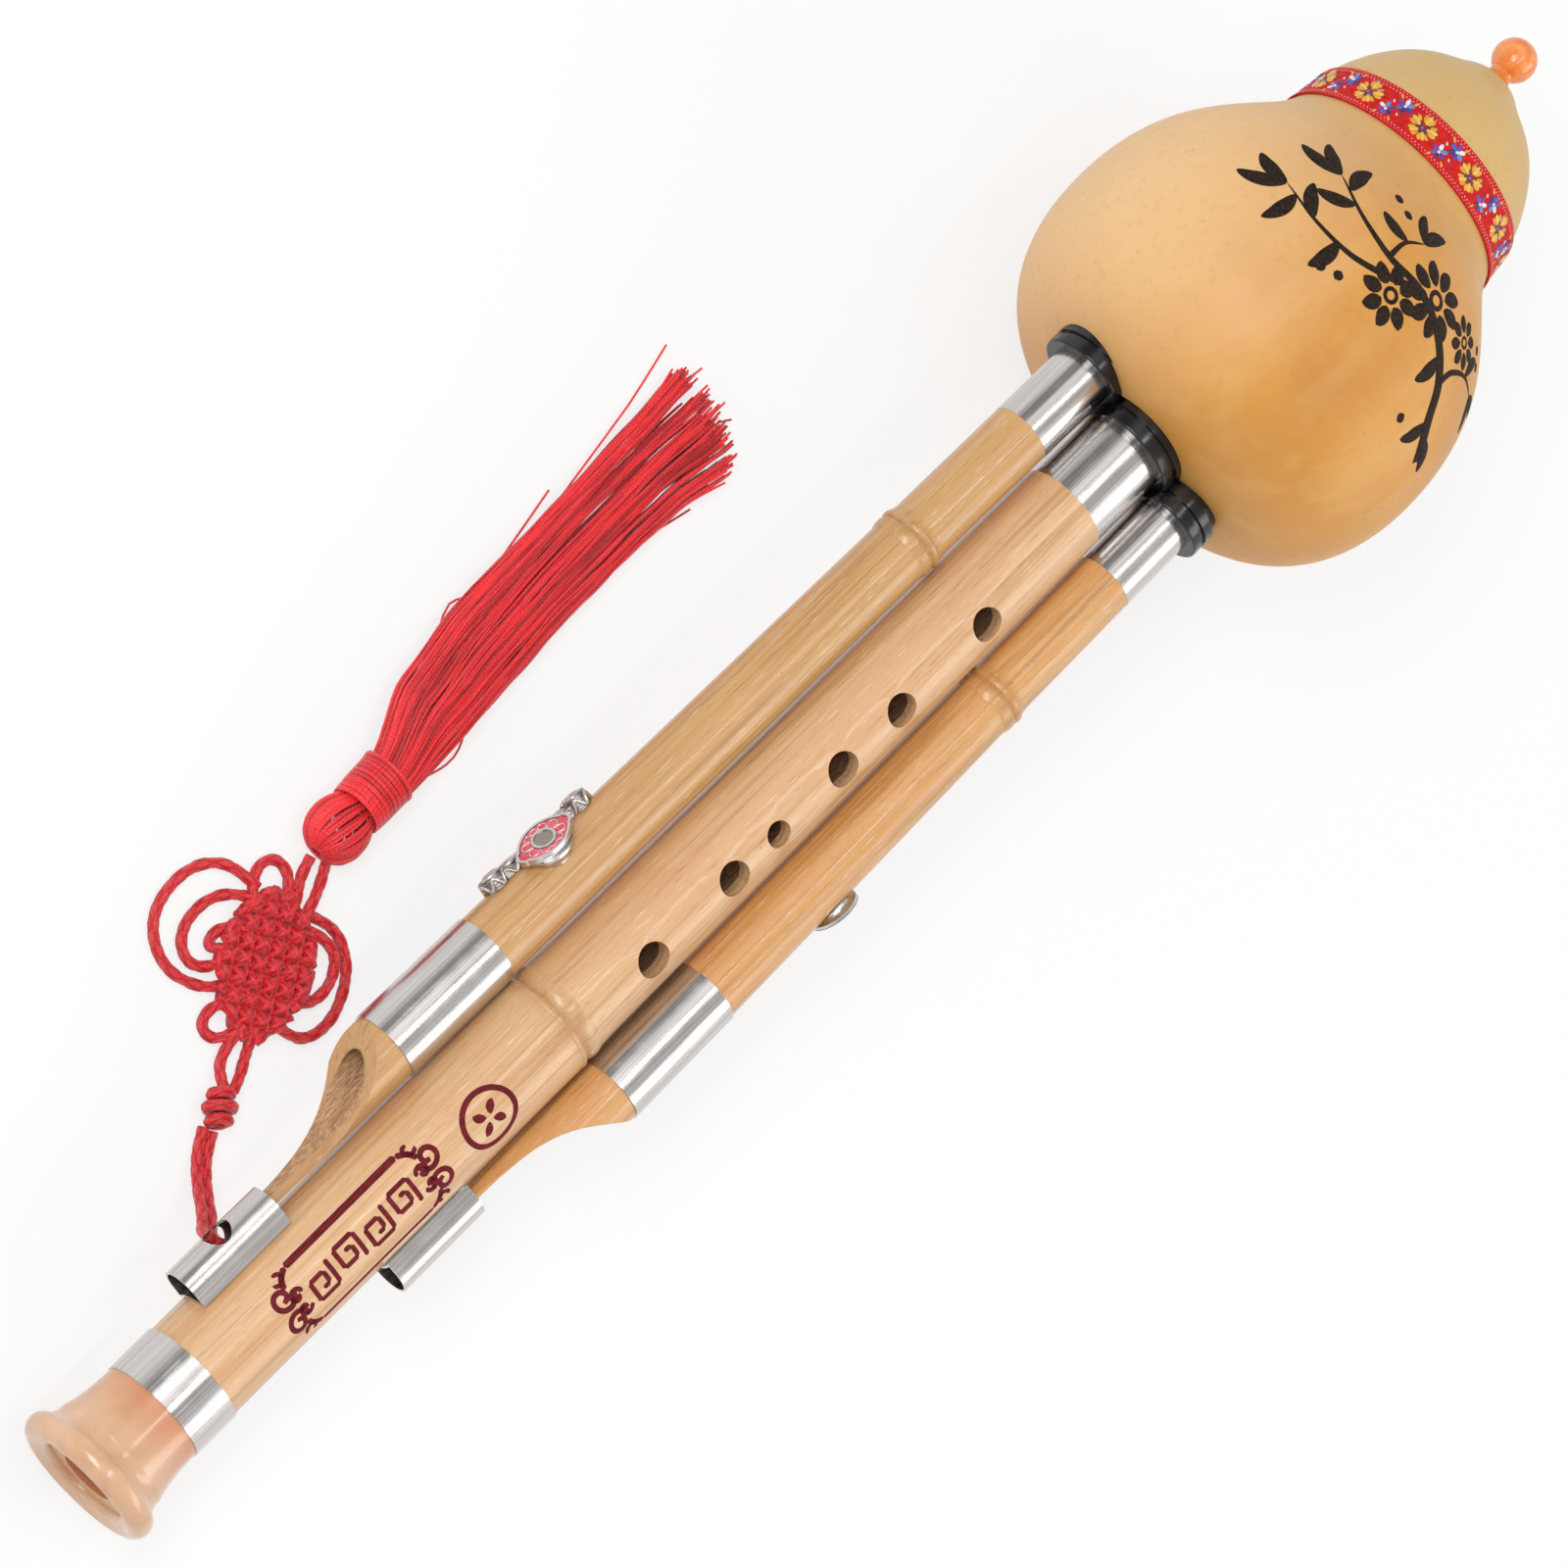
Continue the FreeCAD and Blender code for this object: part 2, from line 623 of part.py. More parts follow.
def make_sockets():
    bore = pipe_ferrule_radius + socket_fit
    side_bore = drone_ferrule_radius + socket_fit
    main = socket_body(bore, main_socket_wall, main_lip_radius, pipe_lip_x)
    filled = {"main_socket": main}
    opened = {}
    half = bore + socket_trim
    middle = Part.makeBox(FAR, 2 * half, 2 * FAR, at(right_lip_x - 50, -half, -FAR))
    inside = Part.makeBox(FAR, 2 * half - 2 * glue_gap, 2 * FAR, at(right_lip_x - 50, glue_gap - half, -FAR))
    for name, side, lip_x in (("left_socket", 1, left_lip_x), ("right_socket", -1, right_lip_x)):
        filled[name] = beside(socket_body(side_bore, side_socket_wall, side_lip_radius, lip_x), side)
        hole = beside(rod(side_bore, lip_x - 1, lip_x + socket_depth + 1), side)
        opened[name] = filled[name].cut(hole).cut(middle)
    opened["main_socket"] = main.cut(rod(bore, pipe_lip_x - 1, pipe_lip_x + socket_depth + 1)).common(inside)
    return filled, opened


def make_gourd_shell(filled):
    shell = gourd_solid(gourd_outline).cut(gourd_solid(inset_outline(gourd_outline, gourd_wall)))
    mouth = rod(mouthpiece_base_radius, gourd_outline[-1][0] - 2 * mouthpiece_depth, FAR + FAR)
    shell = on_gourd(shell.cut(mouth))
    for socket in filled.values():
        shell = shell.cut(socket)
    return shell


# Assembly in the flute's own frame

def build():
    filled, opened = make_sockets()
    nodes = {"gourd_shell": make_gourd_shell(filled)}
    nodes.update(opened)
    nodes["waist_ribbon"] = on_gourd(make_ribbon())
    nodes["mouthpiece"] = on_gourd(make_mouthpiece())

    nodes["bell"] = make_bell()
    nodes["bell_ring"] = make_bell_ring()
    nodes["main_pipe"] = make_main_pipe()
    nodes["main_top_ferrule"] = make_main_top_ferrule()
    nodes["main_reed_bush"] = make_reed_bush()
    nodes["main_reed_tube"] = make_reed_tube(main_reed_radius, main_reed_start, main_reed_length)
    nodes["main_reed"] = make_reed(main_reed_radius, main_reed_start, main_reed_length)
    nodes["left_end_clip"] = make_clip(left_clip_x, left_clip_length, 1, True)
    nodes["right_end_clip"] = make_clip(right_clip_x, right_clip_length, -1, False)

    left = (left_low_x, left_node_x, left_top_x, left_lip_x, left_vent_x, left_vent_turn, left_tail_turn)
    right = (right_low_x, right_node_x, right_top_x, right_lip_x, right_vent_x, 0, right_tail_turn)
    for name, side, places, top in (("left", 1, left, seat_top), ("right", -1, right, right_seat_top)):
        low_x, node_x, top_x, lip_x, vent_x, turn, tail_turn = places
        pipe = make_drone_pipe(low_x, node_x, top_x, lip_x, vent_x, turn, tail_turn)
        below = drone_outside(low_x, node_x, top_x, lip_x, glue_gap)
        seat = make_vent_seat(vent_x, turn, top).cut(below)
        nodes[name + "_drone_pipe"] = beside(pipe, side)
        nodes[name + "_top_ferrule"] = beside(make_drone_top_ferrule(top_x, lip_x), side)
        nodes[name + "_low_ferrule"] = beside(make_drone_low_ferrule(low_x), side)
        nodes[name + "_reed_tube"] = beside(make_drone_reed_tube(lip_x), side)
        nodes[name + "_reed"] = beside(make_drone_reed(lip_x), side)
        nodes[name + "_vent_seat"] = beside(seat, side)
        if side > 0:
            bar = along(make_stopper_bar(), vent_x, bar_turn).cut(below)
            beside_seat = along(rod(seat_rim_radius + 0.3, 0, FAR), vent_x, turn)
            nodes["left_stopper_bar"] = beside(bar.cut(beside_seat), side)
    nodes["left_stopper_plaque"] = beside(along(make_plaque(), left_vent_x, left_vent_turn), 1)
    nodes["left_stopper_magnet"] = beside(along(make_plaque_magnet(), left_vent_x, left_vent_turn), 1)
    nodes["right_stopper_cap"] = beside(along(make_cap(), right_vent_x, 0), -1)
    nodes["right_stopper_magnet"] = beside(along(make_cap_magnet(), right_vent_x, 0), -1)
    return nodes


# Laying the flute down: the slope that puts the gourd and the bell's rim on one floor

def lowest(points, slope):
    return min(x * math.sin(slope) + z * math.cos(slope) for x, z in points)


def resting_slope():
    edge = curve([at(x, r) for x, r in gourd_outline], Y, Y * -1)
    gourd = [(p.x, gourd_drop - p.y) for p in edge.discretize(2000)]
    lip = bell_rim_thickness / 2
    rim = [(lip * 0.8 + 0.02 * i, -bell_rim_radius) for i in range(-5, 6)]
    low, high = 0.0, math.radians(15)
    for _ in range(50):
        middle = (low + high) / 2
        if lowest(gourd, middle) < lowest(rim, middle):
            low = middle
        else:
            high = middle
    return (low + high) / 2


def lay_down(nodes):
    slope = resting_slope()
    laid = {}
    for name, shape in nodes.items():
        moved = shape.copy()
        moved.rotate(ORIGIN, Y, -math.degrees(slope))
        laid[name] = moved
    box = Part.makeCompound(list(laid.values())).optimalBoundingBox(False, False)
    shift = at(-(box.XMin + box.XMax) / 2, -(box.YMin + box.YMax) / 2, -box.ZMin)
    for shape in laid.values():
        shape.translate(shift)
    print("slope", round(math.degrees(slope), 3), "shift", [round(v, 3) for v in shift])
    return laid


# Making the cord, knots and tassel

def cord_wire(points):
    # Straight runs joined by tangent arcs, and the smallest arc radius
    edges = []
    radii = []
    start = points[0]
    for index in range(1, len(points) - 1):
        corner = points[index]
        back = points[index - 1] - corner
        ahead = points[index + 1] - corner
        turn = math.pi - back.getAngle(ahead)
        reach = 0.45 * min(back.Length, ahead.Length)
        radius = reach / math.tan(turn / 2)
        first = corner + back.normalize() * reach
        last = corner + ahead.normalize() * reach
        bisector = (back + ahead).normalize()
        middle = corner + bisector * (math.hypot(radius, reach) - radius)
        edges.append(line(start, first))
        edges.append(arc(first, middle, last))
        radii.append(radius)
        start = last
    edges.append(line(start, points[-1]))
    return Part.Wire(edges), min(radii)


def make_cord(name, points):
    wire, smallest = cord_wire([at(*p) for p in points])
    direction = wire.Edges[0].tangentAt(wire.Edges[0].FirstParameter)
    start = wire.Edges[0].valueAt(wire.Edges[0].FirstParameter)
    section = Part.Wire(Part.makeCircle(cord_radius, start, direction))
    tube_solid = wire.makePipeShell([section], True, False)
    expected = math.pi * cord_radius ** 2 * wire.Length
    print(name, "smallest radius", round(smallest, 1), "volume ratio", round(tube_solid.Volume / expected, 4))
    return tube_solid


def beside_strand(points, side):
    return [(x + side * strand_offset[0], y + side * strand_offset[1], z) for x, y, z in points]


def make_oval(centre, size, turn):
    # An egg shape whose underside is cut flat where it lies on the floor
    ball = Part.makeSphere(1)
    scale = FreeCAD.Matrix()
    scale.scale(*size)
    oval = ball.transformGeometry(scale)
    oval.rotate(ORIGIN, Z, turn)
    oval.translate(at(*centre))
    return oval.cut(Part.makeBox(FAR, FAR, FAR, at(centre[0] - FAR / 2, centre[1] - FAR / 2, -FAR)))


def make_knot_body():
    middle_x = sum(x for x, y in knot_outline) / len(knot_outline)
    middle_y = sum(y for x, y in knot_outline) / len(knot_outline)
    rings = []
    for share, z in knot_rings:
        points = []
        for x, y in knot_outline:
            points.append(at(middle_x + share * (x - middle_x), middle_y + share * (y - middle_y), z))
        ring = Part.BSplineCurve()
        ring.interpolate(Points=points, PeriodicFlag=True)
        rings.append(Part.Wire([ring.toShape()]))
    return Part.makeLoft(rings, True)


def make_head():
    head = make_oval(head_centre, head_size, 0)
    return head.common(Part.makeBox(FAR, FAR, FAR, at(binding_start - 0.1 - FAR, head_centre[1] - FAR / 2, 0)))


def make_binding():
    swell = binding_radius + 0.3
    band = turned(
        (binding_start, 0),
        (binding_start, binding_radius - 0.6),
        (binding_end, binding_radius - 0.6, (binding_start + binding_end) / 2, swell),
        (binding_end, 0),
    )
    band.translate(at(0, head_centre[1] + 0.2, binding_radius - 0.2))
    return band.cut(Part.makeBox(FAR, FAR, FAR, at(-FAR, -FAR / 2, -FAR)))


def make_skirt():
    rings = []
    for x, y, z, half_width, half_height in skirt_sections:
        ellipse = Part.Ellipse(ORIGIN, half_width, half_height).toShape()
        ellipse.rotate(ORIGIN, at(1, 1, 1), 120)
        ellipse.translate(at(x, y, z))
        rings.append(Part.Wire([ellipse]))
    skirt = Part.makeLoft(rings, True)
    return skirt.cut(Part.makeBox(FAR, FAR, FAR, at(-FAR / 2, -FAR / 2, -FAR)))


def make_tassel():
    nodes = {}
    both = [make_cord("hanging_cord", beside_strand(hanging_points, side)) for side in (-1, 1)]
    nodes["hanging_cord"] = Part.makeCompound(both)
    nodes["button_knot"] = make_oval(button_centre, button_size, button_turn)
    groups = (("knot_leads", lead_points), ("left_ear_loops", left_loop_points),
              ("low_ear_loop", [low_loop_points]), ("top_ear_loop", [top_loop_points]),
              ("right_ear_loops", right_loop_points), ("tassel_cord", tassel_cord_points))
    for name, lists in groups:
        nodes[name] = Part.makeCompound([make_cord(name, points) for points in lists])
    nodes["knot_body"] = make_knot_body()
    nodes["tassel_head"] = make_head()
    nodes["tassel_binding"] = make_binding()
    nodes["tassel_skirt"] = make_skirt()
    return nodes


def export(nodes):
    os.makedirs("parts", exist_ok=True)
    for name, shape in nodes.items():
        solids = shape.Solids
        solid = solids[0] if len(solids) == 1 else Part.makeCompound(solids)
        solid.exportStep("parts/" + name + ".step")
        state = "valid" if solid.isValid() else "INVALID"
        print(name, len(solids), "solid", round(solid.Volume, 1), "mm3", state)


everything = lay_down(build())
everything.update(make_tassel())
export(everything)
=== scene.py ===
import math
import random

import bpy
from mathutils import Matrix, Vector
from mathutils.bvhtree import BVHTree


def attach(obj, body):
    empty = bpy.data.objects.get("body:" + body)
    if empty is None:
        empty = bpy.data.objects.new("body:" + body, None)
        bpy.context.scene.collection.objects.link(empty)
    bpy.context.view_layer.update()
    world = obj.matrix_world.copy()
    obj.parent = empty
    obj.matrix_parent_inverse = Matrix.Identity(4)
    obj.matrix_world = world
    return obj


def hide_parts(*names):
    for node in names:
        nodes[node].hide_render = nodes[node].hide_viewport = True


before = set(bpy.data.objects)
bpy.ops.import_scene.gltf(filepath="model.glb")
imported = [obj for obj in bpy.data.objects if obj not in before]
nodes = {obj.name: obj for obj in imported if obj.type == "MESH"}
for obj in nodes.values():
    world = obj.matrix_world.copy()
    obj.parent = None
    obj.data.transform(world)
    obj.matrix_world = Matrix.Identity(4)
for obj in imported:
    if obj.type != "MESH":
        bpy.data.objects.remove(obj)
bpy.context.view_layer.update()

# A gourd flute lying on a pale floor: bamboo pipes, a lacquered gourd, nickel ferrules, a resin bell,
# a woven ribbon and a knotted red cord with a tassel. Millimetres in the flute's own frame run along
# the melody pipe from the bell's face, with the left drone at +Y and the finger holes up.

MM = 0.001
scene = bpy.context.scene

# How the flute lies: the rise of its melody pipe and the middle of the bell's face
pipe_rise = math.radians(6.332)
bell_face = Vector((-0.219766, 0.004496, 0.016024))
flute = Matrix.Translation(bell_face) @ Matrix.Rotation(-pipe_rise, 4, "Y") @ Matrix.Scale(MM, 4)
gourd_lean = math.radians(1.16)
gourd = (flute @ Matrix.Translation((0, -4.5, -5.2)) @ Matrix.Translation((348, 0, 0))
         @ Matrix.Rotation(gourd_lean, 4, "Z"))


# Colours and node trees

def colour(code):
    """Linear colour of an sRGB hex value."""
    shares = [int(code[i:i + 2], 16) / 255 for i in (0, 2, 4)]
    return tuple(c / 12.92 if c <= 0.04045 else ((c + 0.055) / 1.055) ** 2.4 for c in shares) + (1.0,)


def node(tree, kind, inputs=(), ramp=None, **settings):
    """A node with its settings, its inputs as values or as outputs of other nodes, and its ramp's stops."""
    made = tree.nodes.new(kind)
    for key, value in settings.items():
        setattr(made, key, value)
    for key, value in dict(inputs).items():
        if isinstance(value, bpy.types.NodeSocket):
            tree.links.new(value, made.inputs[key])
        else:
            made.inputs[key].default_value = value
    if ramp:
        stops = made.color_ramp.elements
        while len(stops) < len(ramp):
            stops.new(0.5)
        for stop, (place, code) in zip(stops, ramp):
            stop.position = place
            stop.color = colour(code) if isinstance(code, str) else (code, code, code, 1)
    return made


def emptied(owner):
    """The node tree of a new material or world, with nothing in it."""
    owner.use_nodes = True
    owner.node_tree.nodes.clear()
    return owner.node_tree


def finish(name, **values):
    """A material with its tree and its Principled shader, whose plain values are set here."""
    made = bpy.data.materials.new(name)
    tree = emptied(made)
    shader = node(tree, "ShaderNodeBsdfPrincipled", {k.replace("_", " "): v for k, v in values.items()})
    node(tree, "ShaderNodeOutputMaterial", {"Surface": shader.outputs[0]})
    return made, tree, shader


def flute_place(tree, stretch=(1, 1, 1), centre=(0, 0, 0)):
    """Object coordinates as millimetres in the flute's own frame, from a centre, scaled by stretch."""
    here = node(tree, "ShaderNodeTexCoord").outputs["Object"]
    turn = Matrix.Rotation(pipe_rise, 3, "Y")
    away = -(turn @ bell_face) / MM - Vector(centre)
    laid = node(tree, "ShaderNodeMapping", {"Vector": here, "Scale": (1 / MM,) * 3, "Rotation": (0, pipe_rise, 0),
                                            "Location": away})
    return node(tree, "ShaderNodeMapping", {"Vector": laid.outputs[0], "Scale": stretch}).outputs[0]


def mixed(tree, share, first, second):
    """Two colours mixed by a share; a colour is a hex value or an output."""
    first, second = (colour(c) if isinstance(c, str) else c for c in (first, second))
    return node(tree, "ShaderNodeMix", {0: share, 6: first, 7: second}, data_type="RGBA").outputs[2]


def ranged(tree, value, low, high, out_low=0.0, out_high=1.0):
    """A value run from one range to another, held at its ends."""
    return node(tree, "ShaderNodeMapRange", {0: value, 1: low, 2: high, 3: out_low, 4: out_high}).outputs[0]


def raised(tree, shader, height, strength, distance=0.0002):
    """Bump by a height; the distance is in metres."""
    bump = node(tree, "ShaderNodeBump", {"Height": height, "Strength": strength, "Distance": distance})
    tree.links.new(bump.outputs[0], shader.inputs["Normal"])


def link(tree, output, shader, name):
    tree.links.new(output, shader.inputs[name])


def off_axis(tree, place):
    """How far a place lies from the x axis."""
    across = node(tree, "ShaderNodeVectorMath", {0: place, 1: (0, 1, 1)}, operation="MULTIPLY").outputs[0]
    return node(tree, "ShaderNodeVectorMath", {0: across}, operation="LENGTH").outputs["Value"]


# Finishes

def bamboo(name, pale, deep, warm, axis, bare_below, node_x):
    """Scraped and lacquered bamboo: fibres run along the pipe, with a clear glossy coat over them.
    Where the wall is cut open, inside the radius bare_below, the bare fibre is browner and matte.
    The node ring at node_x is darker."""
    made, tree, shader = finish(name, Coat_Roughness=0.16)
    place = flute_place(tree, (1, 1, 1), (0, axis[0], axis[1]))

    def fibres(stretch, detail):
        there = node(tree, "ShaderNodeMapping", {"Vector": place, "Scale": stretch}).outputs[0]
        return node(tree, "ShaderNodeTexNoise", {"Vector": there, "Scale": 1.0, "Detail": detail,
                                                 "Roughness": 0.6}).outputs[0]

    fine = fibres((0.05, 3.2, 3.2), 5.0)
    bundle = fibres((0.012, 0.75, 0.75), 4.0)
    patch = fibres((0.02, 0.11, 0.11), 3.0)
    dash = fibres((0.16, 2.6, 2.6), 2.0)
    tone = node(tree, "ShaderNodeValToRGB", {"Fac": bundle},
                ramp=[(0.34, deep), (0.5, pale), (0.62, pale), (0.72, warm)])
    painted = mixed(tree, ranged(tree, fine, 0.35, 0.65, 0.4, 0.0), tone.outputs[0], deep)
    painted = mixed(tree, ranged(tree, patch, 0.42, 0.66, 0.0, 0.55), painted, warm)
    painted = mixed(tree, ranged(tree, dash, 0.62, 0.74, 0.0, 0.5), painted, "F0DAB4")
    painted = mixed(tree, ranged(tree, dash, 0.3, 0.36, 0.45, 0.0), painted, "8F6233")
    cut = ranged(tree, off_axis(tree, place), bare_below - 0.35, bare_below + 0.1, 1.0, 0.0)
    grain = fibres((0.5, 3.0, 3.0), 4.0)
    bare = node(tree, "ShaderNodeValToRGB", {"Fac": grain},
                ramp=[(0.3, "7C4E34"), (0.52, "B98F68"), (0.75, "D6B48E")])
    painted = mixed(tree, cut, painted, bare.outputs[0])
    along = node(tree, "ShaderNodeSeparateXYZ", {0: place}).outputs[0]
    off = node(tree, "ShaderNodeMath", {0: along, 1: node_x}, operation="SUBTRACT").outputs[0]
    near = node(tree, "ShaderNodeMath", {0: off}, operation="ABSOLUTE").outputs[0]
    painted = mixed(tree, ranged(tree, near, 0.0, 4.0, 0.45, 0.0), painted, "A8763F")
    link(tree, painted, shader, "Base Color")
    link(tree, ranged(tree, cut, 0, 1, 0.42, 0.85), shader, "Roughness")
    link(tree, ranged(tree, cut, 0, 1, 0.5, 0.0), shader, "Coat Weight")
    raised(tree, shader, fine, 0.3, 0.0001)
    return made


def nickel(name, tone="D2CECB", rough=0.16, lines=0.03):
    """Nickel-plated brass tube, drawn and buffed: bright, with faint streaks along the pipe."""
    made, tree, shader = finish(name, Metallic=1.0)
    streak = node(tree, "ShaderNodeTexNoise", {"Vector": flute_place(tree, (0.03, 2.2, 2.2)), "Scale": 1.0,
                                               "Detail": 4.0})
    smear = node(tree, "ShaderNodeTexNoise", {"Vector": flute_place(tree, (0.2, 0.25, 0.25)), "Scale": 1.0,
                                              "Detail": 3.0})
    both = node(tree, "ShaderNodeMath", {0: streak.outputs[0], 1: smear.outputs[0]}, operation="MULTIPLY")
    link(tree, mixed(tree, ranged(tree, streak.outputs[0], 0.3, 0.6), "BAB5B2", tone), shader, "Base Color")
    link(tree, ranged(tree, both.outputs[0], 0.1, 0.45, rough, rough + 0.14), shader, "Roughness")
    raised(tree, shader, streak.outputs[0], lines, 0.00004)
    return made


def gourd_skin():
    """A dried bottle gourd, scraped, stained with dye and lacquered: ochre, with soft cloudy patches and a satin
    coat.
    It has a painted highlight, lighter towards the left drone's side where the key lamp falls, and is greener on the
    lobe past the ribbon."""
    made, tree, shader = finish("lacquered_gourd", Coat_Weight=0.15, Coat_Roughness=0.35, Specular_IOR_Level=0.35)
    place = flute_place(tree)
    cloud = node(tree, "ShaderNodeTexNoise", {"Vector": place, "Scale": 0.028, "Detail": 5.0, "Roughness": 0.5})
    speck = node(tree, "ShaderNodeTexNoise", {"Vector": place, "Scale": 0.5, "Detail": 4.0})
    pores = node(tree, "ShaderNodeTexVoronoi", {"Vector": place, "Scale": 0.15})
    ridge = node(tree, "ShaderNodeTexNoise", {"Vector": flute_place(tree, (0.02, 0.12, 0.12)), "Scale": 1.0,
                                              "Detail": 3.0})
    tone = node(tree, "ShaderNodeValToRGB", {"Fac": cloud.outputs[0]},
                ramp=[(0.3, "C28238"), (0.5, "CE9040"), (0.72, "D69D50")])
    split = node(tree, "ShaderNodeSeparateXYZ", {0: place})
    # Painted highlight: lighter towards the left drone's side, which faces the key lamp.
    lit_side_highlight = ranged(tree, split.outputs[1], 4, 46, 0.0, 0.75)
    painted = mixed(tree, lit_side_highlight, tone.outputs[0], "EFCB9A")
    painted = mixed(tree, ranged(tree, ridge.outputs[0], 0.45, 0.7, 0.0, 0.2), painted, "E0BC82")
    painted = mixed(tree, ranged(tree, split.outputs[0], 375, 408), painted, "D0AC70")
    painted = mixed(tree, ranged(tree, speck.outputs[0], 0.55, 0.78, 0.0, 0.22), painted, "B07E3E")
    painted = mixed(tree, ranged(tree, pores.outputs[0], 0.0, 0.1, 0.35, 0.0), painted, "966632")
    link(tree, painted, shader, "Base Color")
    link(tree, ranged(tree, cloud.outputs[0], 0.3, 0.7, 0.45, 0.58), shader, "Roughness")
    raised(tree, shader, speck.outputs[0], 0.08, 0.0002)
    return made


def resin(name, stops, scale, glow):
    """Cast resin, turned and polished, with marbled streaks and light that goes a little way in."""
    made, tree, shader = finish(name, Roughness=0.24, Coat_Weight=0.4, Coat_Roughness=0.08, IOR=1.5,
                                Subsurface_Weight=glow, Subsurface_Radius=(1, 0.4, 0.2), Subsurface_Scale=0.004)
    place = flute_place(tree, (1, 1, 1.6))
    swirl = node(tree, "ShaderNodeTexNoise", {"Vector": place, "Scale": scale, "Detail": 3.0, "Distortion": 0.8})
    tone = node(tree, "ShaderNodeValToRGB", {"Fac": swirl.outputs[0]}, ramp=stops)
    link(tree, tone.outputs[0], shader, "Base Color")
    return made, tree, shader, tone.outputs[0]


def bell_resin():
    """Peach resin, more orange by the ring and in the bore."""
    made, tree, shader, tone = resin("bell_resin", [(0.3, "C99877"), (0.5, "D3A884"), (0.7, "DAB394")], 0.07, 0.2)
    place = flute_place(tree)
    along = node(tree, "ShaderNodeSeparateXYZ", {0: place}).outputs[0]
    by_ring = ranged(tree, along, 12, 21, 0.0, 0.6)
    in_bore = ranged(tree, off_axis(tree, place), 5.6, 7.6, 0.8, 0.0)
    most = node(tree, "ShaderNodeMath", {0: by_ring, 1: in_bore}, operation="MAXIMUM")
    link(tree, mixed(tree, most.outputs[0], tone, "D07F54"), shader, "Base Color")
    return made


def gloss_black():
    """Injection-moulded black plastic, with faint moulding marks."""
    made, tree, shader = finish("moulded_black_plastic", Base_Color=colour("101012"))
    marks = node(tree, "ShaderNodeTexNoise", {"Vector": flute_place(tree), "Scale": 0.7, "Detail": 4.0})
    link(tree, ranged(tree, marks.outputs[0], 0.3, 0.7, 0.12, 0.24), shader, "Roughness")
    raised(tree, shader, marks.outputs[0], 0.05, 0.0001)
    return made


def plain(name, tone, rough, metal=0.0, grain=1.0):
    """A matte or metal surface with a fine grain in its colour and roughness."""
    made, tree, shader = finish(name, Metallic=metal)
    speck = node(tree, "ShaderNodeTexNoise", {"Vector": flute_place(tree), "Scale": grain, "Detail": 4.0})
    dark = mixed(tree, 0.2, tone, "201812")
    link(tree, mixed(tree, ranged(tree, speck.outputs[0], 0.3, 0.7), dark, tone), shader, "Base Color")
    link(tree, ranged(tree, speck.outputs[0], 0.3, 0.7, rough - 0.06, rough + 0.08), shader, "Roughness")
    raised(tree, shader, speck.outputs[0], 0.2, 0.0001)
    return made


# The cord's braid: millimetres in one turn of a strand, and strands in each direction
braid_pitch = 5.6
braid_strands = 4


def braided(name, lit, deep):
    """Viscose cord with a satin lustre. The braid's grooves follow those of the cord's mesh; its colour puts painted
    shade, the deep red, into the grooves, and the lit red on the raised strands.
    """
    made, tree, shader = finish(name, Roughness=0.4, Sheen_Weight=0.25, Sheen_Roughness=0.4)
    lay = node(tree, "ShaderNodeUVMap").outputs[0]
    place = node(tree, "ShaderNodeSeparateXYZ", {0: lay})
    along = node(tree, "ShaderNodeMath", {0: place.outputs[0], 1: math.pi / braid_pitch}, operation="MULTIPLY")
    around = node(tree, "ShaderNodeMath", {0: place.outputs[1], 1: math.pi * braid_strands}, operation="MULTIPLY")
    lobe_shade_masks = []
    for way in ("ADD", "SUBTRACT"):
        phase = node(tree, "ShaderNodeMath", {0: around.outputs[0], 1: along.outputs[0]}, operation=way)
        wave = node(tree, "ShaderNodeMath", {0: phase.outputs[0]}, operation="SINE")
        lobe_shade_masks.append(node(tree, "ShaderNodeMath", {0: wave.outputs[0]}, operation="ABSOLUTE").outputs[0])
    crossed = node(tree, "ShaderNodeMath", {0: lobe_shade_masks[0], 1: lobe_shade_masks[1]}, operation="MULTIPLY").outputs[0]
    fuzz = node(tree, "ShaderNodeTexNoise", {"Vector": flute_place(tree), "Scale": 2.2, "Detail": 4.0}).outputs[0]
    # Painted shade: the braid's grooves and crossings take the deep red, its raised strands the lit red.
    share = node(tree, "ShaderNodeMath", {0: ranged(tree, crossed, 0.0, 0.6, 0.35, 1), 1: fuzz}, operation="MULTIPLY")
    link(tree, mixed(tree, ranged(tree, share.outputs[0], 0.15, 0.55), deep, lit), shader, "Base Color")
    raised(tree, shader, share.outputs[0], 0.8, 0.0004)
    return made


# The cord's lit red, and the deep red painted into its grooves as shade.
cord_red_with_painted_shade = braided("braided_satin_cord_painted_shade", "EA2A33", "A00B15")

finishes = {
    "gourd_shell": gourd_skin(),
    "main_pipe": bamboo("pale_lacquered_bamboo", "DBB184", "BE8F5E", "CF9769", (0, 0), 9.3, 134.0),
    "left_drone_pipe": bamboo("left_amber_bamboo", "CDA068", "A97C40", "C28F5E", (20.2, 0), 5.0, 258.0),
    "right_drone_pipe": bamboo("right_amber_bamboo", "D8A468", "B07C3E", "CC8C52", (-20.2, 0), 5.0, 252.0),
    "bell": bell_resin(),
    "mouthpiece": resin("amber_resin", [(0.3, "DE6E24"), (0.5, "E8873A"), (0.72, "F0A362")], 0.2, 0.5)[0],
    "main_reed_bush": plain("cork", "A87C4E", 0.85),
    "left_stopper_bar": nickel("cast_white_metal", "6E6460", 0.3, 0.3),
}
polished = nickel("buffed_nickel_plate")
black = gloss_black()
brass = plain("rolled_brass", "C99A45", 0.3, 1.0)
cane = plain("bare_cane", "B9905E", 0.8)
magnet = plain("nickel_plated_magnet", "A39C92", 0.38, 1.0, 3.0)
